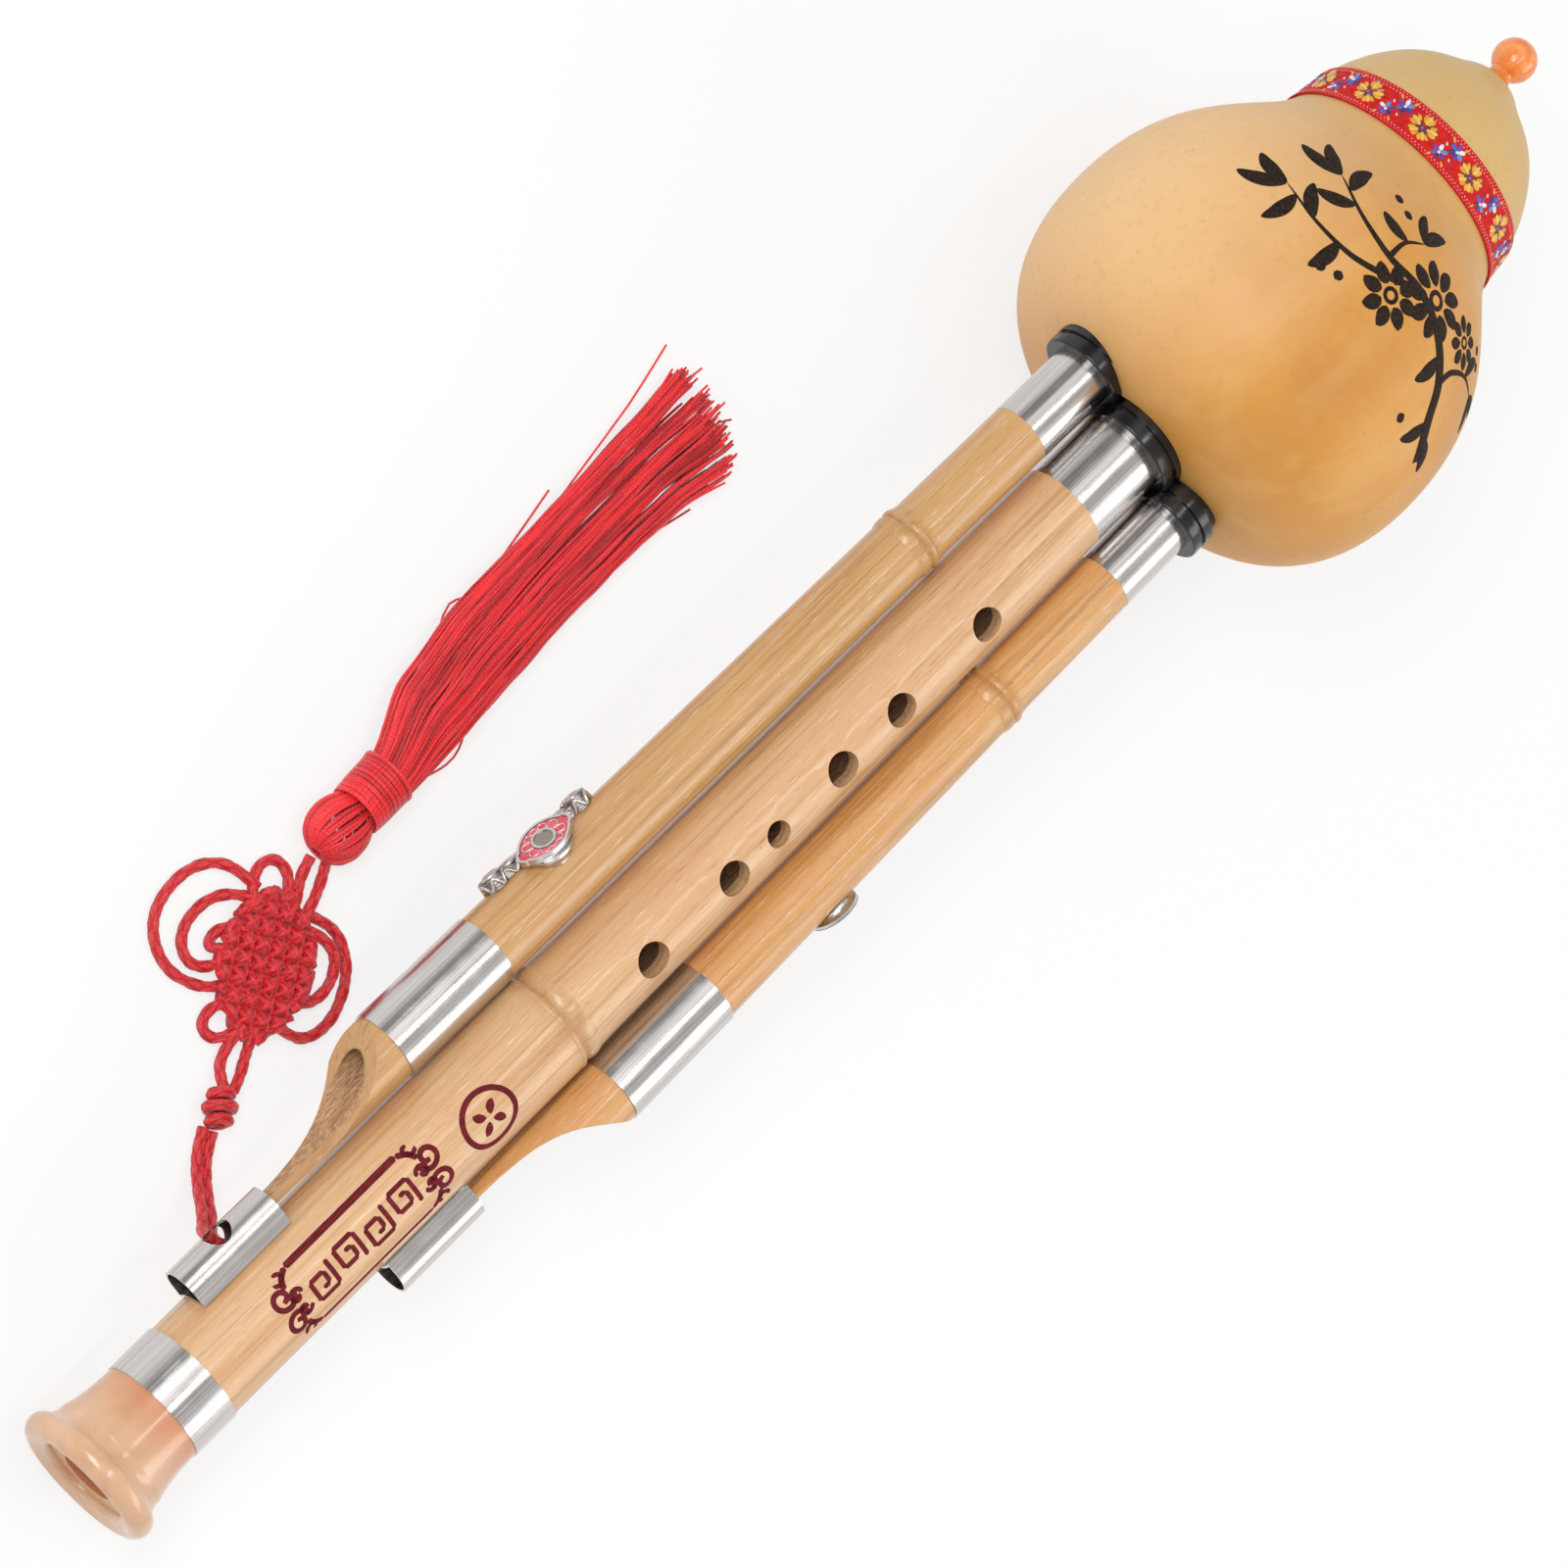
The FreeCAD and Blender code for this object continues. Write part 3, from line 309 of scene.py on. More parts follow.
for name, cad_node in nodes.items():
    if name in finishes:
        look = finishes[name]
    elif "socket" in name:
        look = black
    elif name.endswith("reed_tube"):
        look = cane
    elif name.endswith("reed"):
        look = brass
    elif name.endswith("magnet"):
        look = magnet
    elif "ribbon" in name or any(w in name for w in ("cord", "knot", "loop", "tassel")):
        look = cord_red_with_painted_shade
    else:
        look = polished
    cad_node.data.materials.clear()
    cad_node.data.materials.append(look)


# Meshes

def piece(name, body, verts, faces, look, uvs=None):
    """A mesh object at the origin that rides on a body."""
    mesh = bpy.data.meshes.new(name)
    mesh.from_pydata([tuple(v) for v in verts], [], faces)
    if uvs:
        layer = mesh.uv_layers.new(name="UVMap")
        for loop in mesh.loops:
            layer.data[loop.index].uv = uvs[loop.vertex_index]
    mesh.materials.append(look)
    for polygon in mesh.polygons:
        polygon.use_smooth = True
    made = bpy.data.objects.new(name, mesh)
    scene.collection.objects.link(made)
    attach(made, body)
    return made


def smooth_line(points, step, closed=False):
    """Points about every step along a smooth line through the given ones."""
    count = len(points)
    line = []
    for i in range(count if closed else count - 1):
        a, b, c, d = (Vector(points[k % count if closed else max(0, min(count - 1, k))]) for k in range(i - 1, i + 3))
        parts = max(1, round((c - b).length / step))
        for k in range(parts):
            t = k / parts
            line.append(0.5 * (2 * b + (c - a) * t + (2 * a - 5 * b + 4 * c - d) * t * t
                               + (3 * b - a - 3 * c + d) * t ** 3))
    if not closed:
        line.append(Vector(points[-1]))
    return line


def curve_object(lines, kind):
    """A curve object with a spline of a kind for each line of points."""
    curve = bpy.data.curves.new("lines", "CURVE")
    curve.dimensions = "3D"
    curve.resolution_u = 14
    for points in lines:
        spline = curve.splines.new(kind)
        spline.points.add(len(points) - 1)
        for control, place in zip(spline.points, points):
            control.co = (*place, 1)
        if kind == "NURBS":
            spline.order_u = 3
            spline.use_endpoint_u = True
    made = bpy.data.objects.new("lines", curve)
    scene.collection.objects.link(made)
    return made


def route(points):
    """The smooth NURBS line that control points give, as a list of places on it."""
    made = curve_object([points], "NURBS")
    line = bpy.data.meshes.new_from_object(made.evaluated_get(bpy.context.evaluated_depsgraph_get()))
    found = [v.co.copy() for v in line.vertices]
    bpy.data.objects.remove(made)
    return found


def tube(path, radius, groove=0.14, sides=20):
    """Vertices, faces and lay coordinates of a braided cord along a path."""
    verts, uvs, faces = [], [], []
    ahead = (path[1] - path[0]).normalized()
    side = ahead.cross(Vector((0, 0, 1)))
    side = side.normalized() if side.length > 0.1 else ahead.orthogonal().normalized()
    run = 0.0
    for i, place in enumerate(path):
        last = path[max(i - 1, 0)]
        following = path[min(i + 1, len(path) - 1)]
        run += (place - last).length
        ahead = (following - last).normalized()
        side = (side - ahead * side.dot(ahead)).normalized()
        up = ahead.cross(side)
        for k in range(sides):
            angle = 2 * math.pi * k / sides
            lay = 2 * math.pi * run / (braid_pitch * MM)
            lobe = 1.0
            for way in (-1, 1):
                lobe *= abs(math.sin((angle * braid_strands + lay * way) / 2))
            reach = radius * (1 - groove + groove * 1.9 * min(lobe, 0.7))
            verts.append(place + side * math.cos(angle) * reach + up * math.sin(angle) * reach)
            uvs.append((run / MM, k / sides))
        if i:
            first = (i - 1) * sides
            for k in range(sides):
                n = (k + 1) % sides
                faces.append((first + k, first + n, first + sides + n, first + sides + k))
    faces.append(tuple(reversed(range(sides))))
    faces.append(tuple(range(len(verts) - sides, len(verts))))
    return verts, faces, uvs


def joined(parts):
    """Several meshes as one: vertices, faces and lay coordinates."""
    verts, faces, uvs = [], [], []
    for v, f, u in parts:
        start = len(verts)
        verts += v
        uvs += u
        faces += [tuple(start + i for i in face) for face in f]
    return verts, faces, uvs


# The camera at the photograph's angle and the studio

camera_target = Vector((205.1, 0, 0))
camera_distance = 1600
camera_back = Vector((-0.30902, 0.37162, 0.87545))
camera_right = Vector((0.67426, -0.56339, 0.47715))
camera_up = Vector((0.67054, 0.73773, -0.07647))
turn = flute.to_3x3().normalized()
camera_data = bpy.data.cameras.new("camera")
camera_data.lens = 180
camera_data.sensor_width = 36
camera = bpy.data.objects.new("camera", camera_data)
scene.collection.objects.link(camera)
facing = Matrix((turn @ camera_right, turn @ camera_up, turn @ camera_back)).transposed().to_4x4()
camera.matrix_world = Matrix.Translation(flute @ (camera_target + camera_back * camera_distance)) @ facing
scene.camera = camera
scene.view_settings.view_transform = "Standard"


def seen_white(tree):
    """1 where the camera, a reflection or a refraction looks at it, else 0."""
    rays = node(tree, "ShaderNodeLightPath")
    seen = node(tree, "ShaderNodeMath", {0: rays.outputs["Is Camera Ray"], 1: rays.outputs["Is Glossy Ray"]},
                operation="MAXIMUM")
    return node(tree, "ShaderNodeMath", {0: seen.outputs[0], 1: rays.outputs["Is Transmission Ray"]},
                operation="MAXIMUM").outputs[0]


def pale_floor():
    """Matte paper, of which the camera and what reflects or refracts see most as plain white."""
    made = bpy.data.materials.new("pale_paper_floor")
    tree = emptied(made)
    matte = node(tree, "ShaderNodeBsdfDiffuse", {"Color": (0.86, 0.86, 0.86, 1)})
    white = node(tree, "ShaderNodeEmission", {"Color": (1, 1, 1, 1), "Strength": 1.0})
    share = node(tree, "ShaderNodeMath", {0: seen_white(tree), 1: 0.72}, operation="MULTIPLY")
    both = node(tree, "ShaderNodeMixShader", {0: share.outputs[0], 1: matte.outputs[0], 2: white.outputs[0]})
    node(tree, "ShaderNodeOutputMaterial", {"Surface": both.outputs[0]})
    return made


floor_mesh = bpy.data.meshes.new("floor")
floor_mesh.from_pydata([(-8, -8, 0), (8, -8, 0), (8, 8, 0), (-8, 8, 0)], [], [(0, 1, 2, 3)])
floor_mesh.materials.append(pale_floor())
floor = bpy.data.objects.new("floor", floor_mesh)
scene.collection.objects.link(floor)

world = bpy.data.worlds.new("studio")
scene.world = world
tree = emptied(world)
rays = node(tree, "ShaderNodeLightPath")
tent = node(tree, "ShaderNodeBackground", {"Color": (1, 1, 1, 1), "Strength": 0.58})
white = node(tree, "ShaderNodeBackground", {"Color": (1, 1, 1, 1), "Strength": 1.0})
# Metal and lacquer show the tent's panels: long bright and grey strips, lengthways over the flute
way = node(tree, "ShaderNodeSeparateXYZ", {0: node(tree, "ShaderNodeTexCoord").outputs["Generated"]})
lift = node(tree, "ShaderNodeMath", {0: way.outputs[1], 1: way.outputs[2]}, operation="ARCTAN2").outputs[0]
# as (degrees from straight up, brightness)
strips = [(-90, 0.9), (-45, 0.78), (-22, 0.5), (8, 0.46), (21, 1.0), (31, 1.0), (43, 0.22), (62, 0.28), (80, 0.85),
          (90, 0.95)]
panels = node(tree, "ShaderNodeValToRGB", {"Fac": ranged(tree, lift, -math.pi / 2, math.pi / 2)},
              ramp=[((angle + 90) / 180, shade) for angle, shade in strips])
shown = node(tree, "ShaderNodeBackground", {"Color": panels.outputs[0], "Strength": 1.15})
gloss = node(tree, "ShaderNodeMixShader", {0: rays.outputs["Is Glossy Ray"], 1: tent.outputs[0], 2: shown.outputs[0]})
both = node(tree, "ShaderNodeMixShader", {0: rays.outputs["Is Camera Ray"], 1: gloss.outputs[0], 2: white.outputs[0]})
node(tree, "ShaderNodeOutputWorld", {"Surface": both.outputs[0]})


def softbox(name, place, size, power):
    """A rectangular lamp at a place, facing the origin; sizes in metres, power in watts."""
    data = bpy.data.lights.new(name, "AREA")
    data.shape = "RECTANGLE"
    data.size, data.size_y = size
    data.energy = power
    lamp = bpy.data.objects.new(name, data)
    scene.collection.objects.link(lamp)
    lamp.location = place
    lamp.rotation_mode = "QUATERNION"
    lamp.rotation_quaternion = (-Vector(place)).to_track_quat("-Z", "Y")


softbox("key_softbox", (-0.5, 0.9, 1.3), (0.9, 0.5), 12)
softbox("fill_softbox", (0.4, -1.2, 0.9), (1.2, 0.6), 6)
softbox("top_strip", (0.0, 0.1, 1.5), (1.4, 0.12), 4)


# Cord and knot: routes in metres, as the solids follow them

cord_radius = 0.0012
strand_offset = Vector((-0.00045, 0.00105, 0))
hanging_points = [
    (-0.1668, 0.02015, 0.0199), (-0.1663, 0.0205, 0.0156), (-0.1624, 0.0211, 0.012), (-0.1579, 0.0231, 0.0065),
    (-0.154, 0.0251, 0.0029), (-0.1505, 0.0276, 0.0015), (-0.1466, 0.0304, 0.0024)]
lead_points = [
    [(-0.1389, 0.0339, 0.0032), (-0.1375, 0.0364, 0.0024), (-0.1351, 0.0384, 0.0016), (-0.1312, 0.0400, 0.0026),
     (-0.1270, 0.0408, 0.0036)],
    [(-0.1377, 0.0324, 0.0032), (-0.1346, 0.0329, 0.0024), (-0.1314, 0.0344, 0.0016), (-0.1284, 0.0366, 0.0026),
     (-0.1255, 0.0388, 0.0036)]]
left_loop_points = [
    [(-0.1058, 0.0584, 0.0026), (-0.1062, 0.0636, 0.0018), (-0.1084, 0.068, 0.0013), (-0.1134, 0.0713, 0.0013),
     (-0.1199, 0.072, 0.0013), (-0.1262, 0.0704, 0.0013), (-0.1302, 0.066, 0.0013), (-0.1316, 0.0599, 0.0013),
     (-0.1294, 0.0537, 0.0013), (-0.1257, 0.0495, 0.0018), (-0.121, 0.0473, 0.0026)],
    [(-0.1069, 0.0561, 0.0026), (-0.1094, 0.06, 0.002), (-0.1128, 0.063, 0.0013), (-0.1173, 0.0644, 0.0013),
     (-0.1225, 0.064, 0.0013), (-0.1263, 0.0618, 0.002), (-0.1276, 0.0583, 0.0026), (-0.1259, 0.0552, 0.0024),
     (-0.1222, 0.053, 0.0022), (-0.1175, 0.0521, 0.0028)],
    [(-0.1129, 0.0526, 0.0032), (-0.1144, 0.0561, 0.0024), (-0.1176, 0.0581, 0.0016), (-0.121, 0.058, 0.0016),
     (-0.1217, 0.0562, 0.0022), (-0.1184, 0.0534, 0.0032)]]
low_loop_points = [
    (-0.1229, 0.0442, 0.003), (-0.1263, 0.0463, 0.002), (-0.1301, 0.0477, 0.0014), (-0.1335, 0.0466, 0.0014),
    (-0.1339, 0.0434, 0.0014), (-0.1314, 0.0412, 0.0022), (-0.128, 0.0404, 0.003)]
top_loop_points = [
    (-0.11, 0.0558, 0.003), (-0.1065, 0.0593, 0.0022), (-0.1026, 0.0613, 0.0016), (-0.0989, 0.0603, 0.0016),
    (-0.0978, 0.0569, 0.0016), (-0.0998, 0.0536, 0.0022), (-0.104, 0.0516, 0.003)]
right_loop_points = [
    [(-0.1016, 0.0475, 0.003), (-0.099, 0.0429, 0.0022), (-0.098, 0.0379, 0.0014), (-0.1003, 0.0327, 0.0014),
     (-0.1048, 0.0288, 0.0014), (-0.111, 0.0264, 0.0014), (-0.117, 0.0272, 0.0014), (-0.1203, 0.0306, 0.002),
     (-0.1214, 0.0351, 0.003)],
    [(-0.1032, 0.0441, 0.0034), (-0.1016, 0.0404, 0.0034), (-0.1021, 0.0363, 0.0032), (-0.105, 0.033, 0.0022),
     (-0.1093, 0.0318, 0.0016), (-0.1137, 0.0334, 0.0022), (-0.1164, 0.0369, 0.003)]]
tassel_cord_points = [
    [(-0.1062, 0.0500, 0.0042), (-0.1019, 0.0504, 0.0034), (-0.0992, 0.0517, 0.0024), (-0.096, 0.0535, 0.002),
     (-0.0926, 0.0549, 0.003)],
    [(-0.1050, 0.0470, 0.0042), (-0.1000, 0.0474, 0.0034), (-0.0954, 0.0487, 0.0024), (-0.0923, 0.0501, 0.002),
     (-0.0899, 0.0522, 0.003)]]


def cord_piece(name, path):
    """A length of the braided cord on the main pipe's body."""
    verts, faces, uvs = tube(path, cord_radius)
    return piece(name, "main_pipe", verts, faces, cord_red_with_painted_shade, uvs)


def loops(name, lists, replaced):
    """Short stretches of the same cord, one piece each; the first stands for the solid."""
    made = []
    for i, points in enumerate(lists):
        path = route(points)
        made.append((cord_piece(f"{name}_{i + 1}", path), path))
    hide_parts(replaced)
    return made


leads = loops("knot_lead", lead_points, "knot_leads")
loops("tassel_lead", tassel_cord_points, "tassel_cord")
ear_loops = (loops("left_ear", left_loop_points, "left_ear_loops")
             + loops("low_ear", [low_loop_points], "low_ear_loop")
             + loops("top_ear", [top_loop_points], "top_ear_loop")
             + loops("right_ear", right_loop_points, "right_ear_loops"))


# The knot's body: two sets of cords woven over and under each other, doubled back at the edge

knot_centre = Vector((-0.1152, 0.0458, 0.0028))
knot_turn = math.radians(33)
weave_pitch = 0.00262
weave_rise = 0.00125
knot_half = (0.0155, 0.0108)


def knot_edge(offset, slant):
    """How far a woven cord runs each way before the knot's rounded diamond ends."""
    spread = []
    for sign in (-1, 1):
        reach = 0.0
        while reach < 0.03:
            along = sign * reach
            x = along * math.cos(slant) - offset * math.sin(slant)
            y = along * math.sin(slant) + offset * math.cos(slant)
            if abs(x / knot_half[0]) ** 1.7 + abs(y / knot_half[1]) ** 1.7 > 1:
                break
            reach += 0.0002
        spread.append(sign * reach)
    return spread


def woven(slant, flip):
    """One set of cords of the weave: neighbouring pairs turn back into each other at the edge."""
    parts = []
    for pair in range(-4, 4):
        path = []
        for leg in (0, 1):
            row = pair * 2 + leg
            offset = (row + 0.5) * weave_pitch
            low, high = knot_edge(offset, slant)
            if high - low < weave_pitch * 1.5:
                continue
            steps = max(6, int((high - low) / 0.0004))
            run = [low + (high - low) * i / steps for i in range(steps + 1)]
            if leg:
                run.reverse()
            for along in run:
                swing = math.cos(math.pi * (along / weave_pitch - 0.5) + math.pi * (row % 2)) * flip
                edge = min(1.0, (high - along) / 0.002, (along - low) / 0.002)
                x = along * math.cos(slant) - offset * math.sin(slant)
                y = along * math.sin(slant) + offset * math.cos(slant)
                turned = Matrix.Rotation(knot_turn, 3, "Z") @ Vector((x, y, 0))
                lift = weave_rise * swing * (0.35 + 0.65 * edge)
                path.append(knot_centre + turned + Vector((0, 0, lift)))
        if len(path) > 8:
            eased = [(path[i - 1] + path[i] * 2 + path[i + 1]) / 4 for i in range(1, len(path) - 1)]
            parts.append(tube(path[:1] + eased + path[-1:], cord_radius * 1.02, sides=14))
    return parts


verts, faces, uvs = joined(woven(math.radians(45), 1) + woven(math.radians(-45), -1))
weave = piece("knot_weave", "main_pipe", verts, faces, cord_red_with_painted_shade, uvs)
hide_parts("knot_body")


# The button above it: three turns of the cord, side by side

def oval_turns(centre, size, turned, turns, radius):
    """Turns of cord round an egg shape, side by side across its long axis."""
    parts = []
    own_turn = Matrix.Rotation(turned, 3, "Z")
    for i in range(turns):
        share = (i + 0.5) / turns * 2 - 1
        ring = math.sqrt(max(0.05, 1 - (share * 0.92) ** 2))
        path = []
        for k in range(33):
            angle = 2 * math.pi * k / 32
            local = Vector((size[0] * share * 0.8, (size[1] * ring - radius) * math.cos(angle),
                            (size[2] * ring - radius * 0.8) * math.sin(angle)))
            local.x += radius * 0.5 * math.sin(angle)
            path.append(Vector(centre) + own_turn @ local)
        parts.append(tube(path, radius, sides=12))
    return parts


button_centre = (-0.1422, 0.0322, 0.0036)
verts, faces, uvs = joined(oval_turns(button_centre, (0.0050, 0.0041, 0.0032), math.radians(42), 3, 0.00125))
button = piece("button_turns", "main_pipe", verts, faces, cord_red_with_painted_shade, uvs)
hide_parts("button_knot")


# Tassel: head, binding and skirt of fine threads

head_centre = Vector((-0.0854, 0.0556, 0.0054))
binding_x = (-0.0802, -0.0696)
binding_radius = 0.0061
binding_centre = Vector((0, 0.0558, 0.0059))
# Along the skirt: x, the middle's y and z, half its width and half its height
skirt_sections = [
    (-0.0695, 0.0553, 0.0051, 0.0054, 0.0052), (-0.0536, 0.0586, 0.0045, 0.0088, 0.0048),
    (-0.035, 0.06, 0.0041, 0.0098, 0.0044), (-0.017, 0.0602, 0.0037, 0.0096, 0.004),
    (0.002, 0.0597, 0.0033, 0.0099, 0.0036), (0.020, 0.059, 0.0029, 0.0108, 0.0032),
    (0.038, 0.057, 0.0024, 0.0133, 0.0027)]


def growing_tree(name, inputs):
    """A Geometry Nodes tree with inputs of (name, kind), and the node that gives them."""
    tree = bpy.data.node_groups.new(name, "GeometryNodeTree")
    for label, kind in inputs:
        tree.interface.new_socket(label, in_out="INPUT", socket_type="NodeSocket" + kind)
    tree.interface.new_socket("Mesh", in_out="OUTPUT", socket_type="NodeSocketGeometry")
    return tree, node(tree, "NodeGroupInput")


def given_out(tree, shape, look):
    """The tree's end: real geometry, smooth, in its material."""
    real = node(tree, "GeometryNodeRealizeInstances", {0: shape.outputs[0]})
    shaded = node(tree, "GeometryNodeSetShadeSmooth", {0: real.outputs[0]})
    coated = node(tree, "GeometryNodeSetMaterial", {"Geometry": shaded.outputs[0], "Material": look})
    node(tree, "NodeGroupOutput", {0: coated.outputs[0]})
    return tree


def threads_tree():
    """A round thread of a given radius along every line, with its length and its own random share of painted light
    kept for its colour.
    """
    tree, given = growing_tree("threads", [("Lines", "Geometry"), ("Thread radius", "Float"), ("Sides", "Int"),
                                           ("Finish", "Material")])
    length = node(tree, "GeometryNodeSplineParameter")
    kept = node(tree, "GeometryNodeStoreNamedAttribute",
                {"Geometry": given.outputs["Lines"], "Name": "lay", "Value": length.outputs["Length"]},
                data_type="FLOAT", domain="POINT")
    chance = node(tree, "FunctionNodeRandomValue", {"Seed": 5}, data_type="FLOAT")
    thread_light_stored = node(tree, "GeometryNodeStoreNamedAttribute",
                {"Geometry": kept.outputs[0], "Name": "shade", "Value": chance.outputs[1]},
                data_type="FLOAT", domain="CURVE")
    ring = node(tree, "GeometryNodeCurvePrimitiveCircle", {"Resolution": given.outputs["Sides"],
                                                           "Radius": given.outputs["Thread radius"]})
    swept = node(tree, "GeometryNodeCurveToMesh", {"Curve": thread_light_stored.outputs[0], "Profile Curve": ring.outputs["Curve"],
                                                   "Fill Caps": True})
    return given_out(tree, swept, given.outputs["Finish"])


def grown(name, start, tree, values, body):
    """The plain mesh that a Geometry Nodes tree makes of an object, which is then removed."""
    modifier = start.modifiers.new("grow", "NODES")
    modifier.node_group = tree
    identifiers = {s.name: s.identifier for s in tree.interface.items_tree if s.in_out == "INPUT"}
    for key, value in values.items():
        modifier[identifiers[key]] = value
    mesh = bpy.data.meshes.new_from_object(start.evaluated_get(bpy.context.evaluated_depsgraph_get()))
    bpy.data.objects.remove(start)
    mesh.name = name
    made = bpy.data.objects.new(name, mesh)
    scene.collection.objects.link(made)
    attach(made, body)
    return made


def viscose(name, lit, deep, pitch):
    """Fine twisted viscose thread, satin red. Each thread has its own shade, a random share of painted light between
    the deep and the lit red, and the twist follows its length with painted shade in its hollows;
    pitch is a turn of the twist in millimetres."""
    made, tree, shader = finish(name, Roughness=0.36, Sheen_Weight=0.25, Sheen_Roughness=0.4)
    lay = node(tree, "ShaderNodeAttribute", attribute_name="lay").outputs["Fac"]
    shade = node(tree, "ShaderNodeAttribute", attribute_name="shade").outputs["Fac"]
    along = node(tree, "ShaderNodeMath", {0: lay, 1: 2 * math.pi / (pitch * MM)}, operation="MULTIPLY")
    wave = node(tree, "ShaderNodeMath", {0: along.outputs[0]}, operation="SINE").outputs[0]
    dye = node(tree, "ShaderNodeTexNoise", {"Vector": flute_place(tree, (0.08, 1.6, 1.6)), "Scale": 1.0,
                                            "Detail": 3.0}).outputs[0]
    # Painted light: each thread's random share between shaded and lit red, darkened further in the twist's hollows as
    # painted shade.
    share = node(tree, "ShaderNodeMath", {0: shade, 1: ranged(tree, dye, 0.3, 0.7, 0.45, 1)}, operation="MULTIPLY")
    both = node(tree, "ShaderNodeMath", {0: share.outputs[0], 1: ranged(tree, wave, -1, 1, 0.7, 1)},
                operation="MULTIPLY")
    link(tree, mixed(tree, ranged(tree, both.outputs[0], 0.0, 0.4), deep, lit), shader, "Base Color")
    raised(tree, shader, wave, 0.3, 0.0001)
    return made


# The threads' lit red and deep red: painted light and shade.
viscose_red_painted_light = viscose("twisted_viscose_thread_painted_light", "F42A33", "A80A14", 0.9)
threads = threads_tree()
draw = random.Random(17)


def section(x):
    """Middle and half sizes of the skirt at x."""
    for a, b in zip(skirt_sections, skirt_sections[1:]):
        if x <= b[0] or b is skirt_sections[-1]:
            t = max(0.0, min(1.0, (x - a[0]) / (b[0] - a[0])))
            t = t * t * (3 - 2 * t) * 0.5 + t * 0.5
            return [a[i] + (b[i] - a[i]) * t for i in range(1, 5)]


def skirt_line(p, q, end, fan, sway, crimp):
    """One thread from the binding to the ragged end. p and q are its place across the skirt, fan is how far off it
    starts, sway its lock's wander and crimp its own waves, both as (size, radians along it, phase)."""
    points = []
    count = 40
    start = binding_x[1] - 0.0015
    for i in range(count + 1):
        t = i / count
        x = start + (end - start) * t
        y, z, half_width, half_height = section(x)
        drift = sway[0] * math.sin(t * sway[1] + sway[2]) * t + fan * (1 - t) ** 2
        across = max(-1.04, min(1.04, p + drift))
        high = q * math.sqrt(max(0.0, 1.09 - across * across))
        wave = crimp[0] * math.sin(crimp[1] * t + crimp[2])
        points.append((x, y + half_width * across + wave, max(0.0004, z + half_height * high + wave * 0.5)))
    return points


# Where the ragged end lies, from the side by the flute to the far side
end_places = [(-1.0, 0.0336), (-0.5, 0.0392), (0.2, 0.0413), (1.0, 0.0410)]
skirt_lines = []
# The threads keep together in locks, each with its place across the skirt and its sway
locks = []
lock_count = 24
for i in range(lock_count):
    middle = -0.96 + 1.92 * i / (lock_count - 1) + draw.uniform(-0.05, 0.05)
    size = draw.uniform(0.02, 0.13) * draw.choice((-1, 1))
    locks.append((middle, size, draw.uniform(1.5, 4.0), draw.uniform(0, 6.28)))
for i in range(300):
    lock = locks[i % len(locks)]
    layer = draw.random() ** 0.5
    q = layer if draw.random() < 0.8 else -layer * draw.random()
    p = max(-1.0, min(1.0, lock[0] + draw.gauss(0, 0.022)))
    for (a, end_a), (b, end_b) in zip(end_places, end_places[1:]):
        if a <= p <= b:
            end = end_a + (end_b - end_a) * (p - a) / (b - a)
    end += draw.uniform(-0.0055, 0.0008) if draw.random() < 0.8 else draw.uniform(-0.011, 0.0022)
    loose = draw.gauss(0, 0.12) if draw.random() < 0.2 else draw.gauss(0, 0.015)
    sway = (lock[1] + loose, lock[2], lock[3])
    crimp = (draw.uniform(0.00005, 0.0003), draw.uniform(14, 40), draw.uniform(0, 6.28))
    skirt_lines.append(skirt_line(p, q, end, draw.gauss(0, 0.12), sway, crimp))
# Threads that have come away from the rest, lying on the floor beside it
strays = [
    [(-0.03, 0.0655, 0.003), (0.0191, 0.0712, 0.002), (0.0301, 0.0724, 0.001), (0.0422, 0.0749, 0.001)],
    [(-0.056, 0.056, 0.0035), (-0.0364, 0.0697, 0.002), (-0.0281, 0.0682, 0.001), (-0.0189, 0.0686, 0.001),
     (0.0003, 0.0715, 0.001)],
    [(-0.0705, 0.052, 0.004), (-0.0562, 0.0467, 0.002), (-0.0483, 0.0482, 0.001), (-0.0428, 0.0529, 0.001)],
    [(-0.028, 0.052, 0.003), (0.0059, 0.0504, 0.002), (0.0149, 0.0479, 0.001), (0.0235, 0.0458, 0.001)],
    [(0.02, 0.064, 0.003), (0.0398, 0.0661, 0.002), (0.0455, 0.0656, 0.001)],
    [(0.02, 0.05, 0.003), (0.0376, 0.055, 0.002), (0.0438, 0.0529, 0.001)],
]
for stray in strays:
    skirt_lines.append([tuple(v) for v in smooth_line(stray, 0.002)])
skirt = grown("tassel_threads", curve_object(skirt_lines, "POLY"), threads,
              {"Thread radius": 0.00026, "Sides": 5, "Finish": viscose_red_painted_light}, "main_pipe")
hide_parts("tassel_skirt")

# The binding: turns of thread side by side, wider at the skirt's end
binding_lines = []
turns = 27
for i in range(turns):
    line = []
    for k in range(25):
        t = (i + k / 24) / turns
        angle = 2 * math.pi * k / 24
        uneven = 0.00012 * math.sin(i * 2.3 + angle)
        x = binding_x[0] + (binding_x[1] - binding_x[0]) * t + uneven + 0.0003 * math.cos(angle)
        swell = binding_radius - 0.0003 + 0.0003 * math.sin(math.pi * t) + 0.0006 * t ** 6
        line.append((x, binding_centre.y + swell * math.cos(angle),
                     max(0.0004, binding_centre.z + swell * math.sin(angle))))
    binding_lines.append(line)
binding = grown("tassel_binding_turns", curve_object(binding_lines, "POLY"), threads,
                {"Thread radius": 0.00027, "Sides": 8, "Finish": viscose_red_painted_light}, "main_pipe")
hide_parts("tassel_binding")

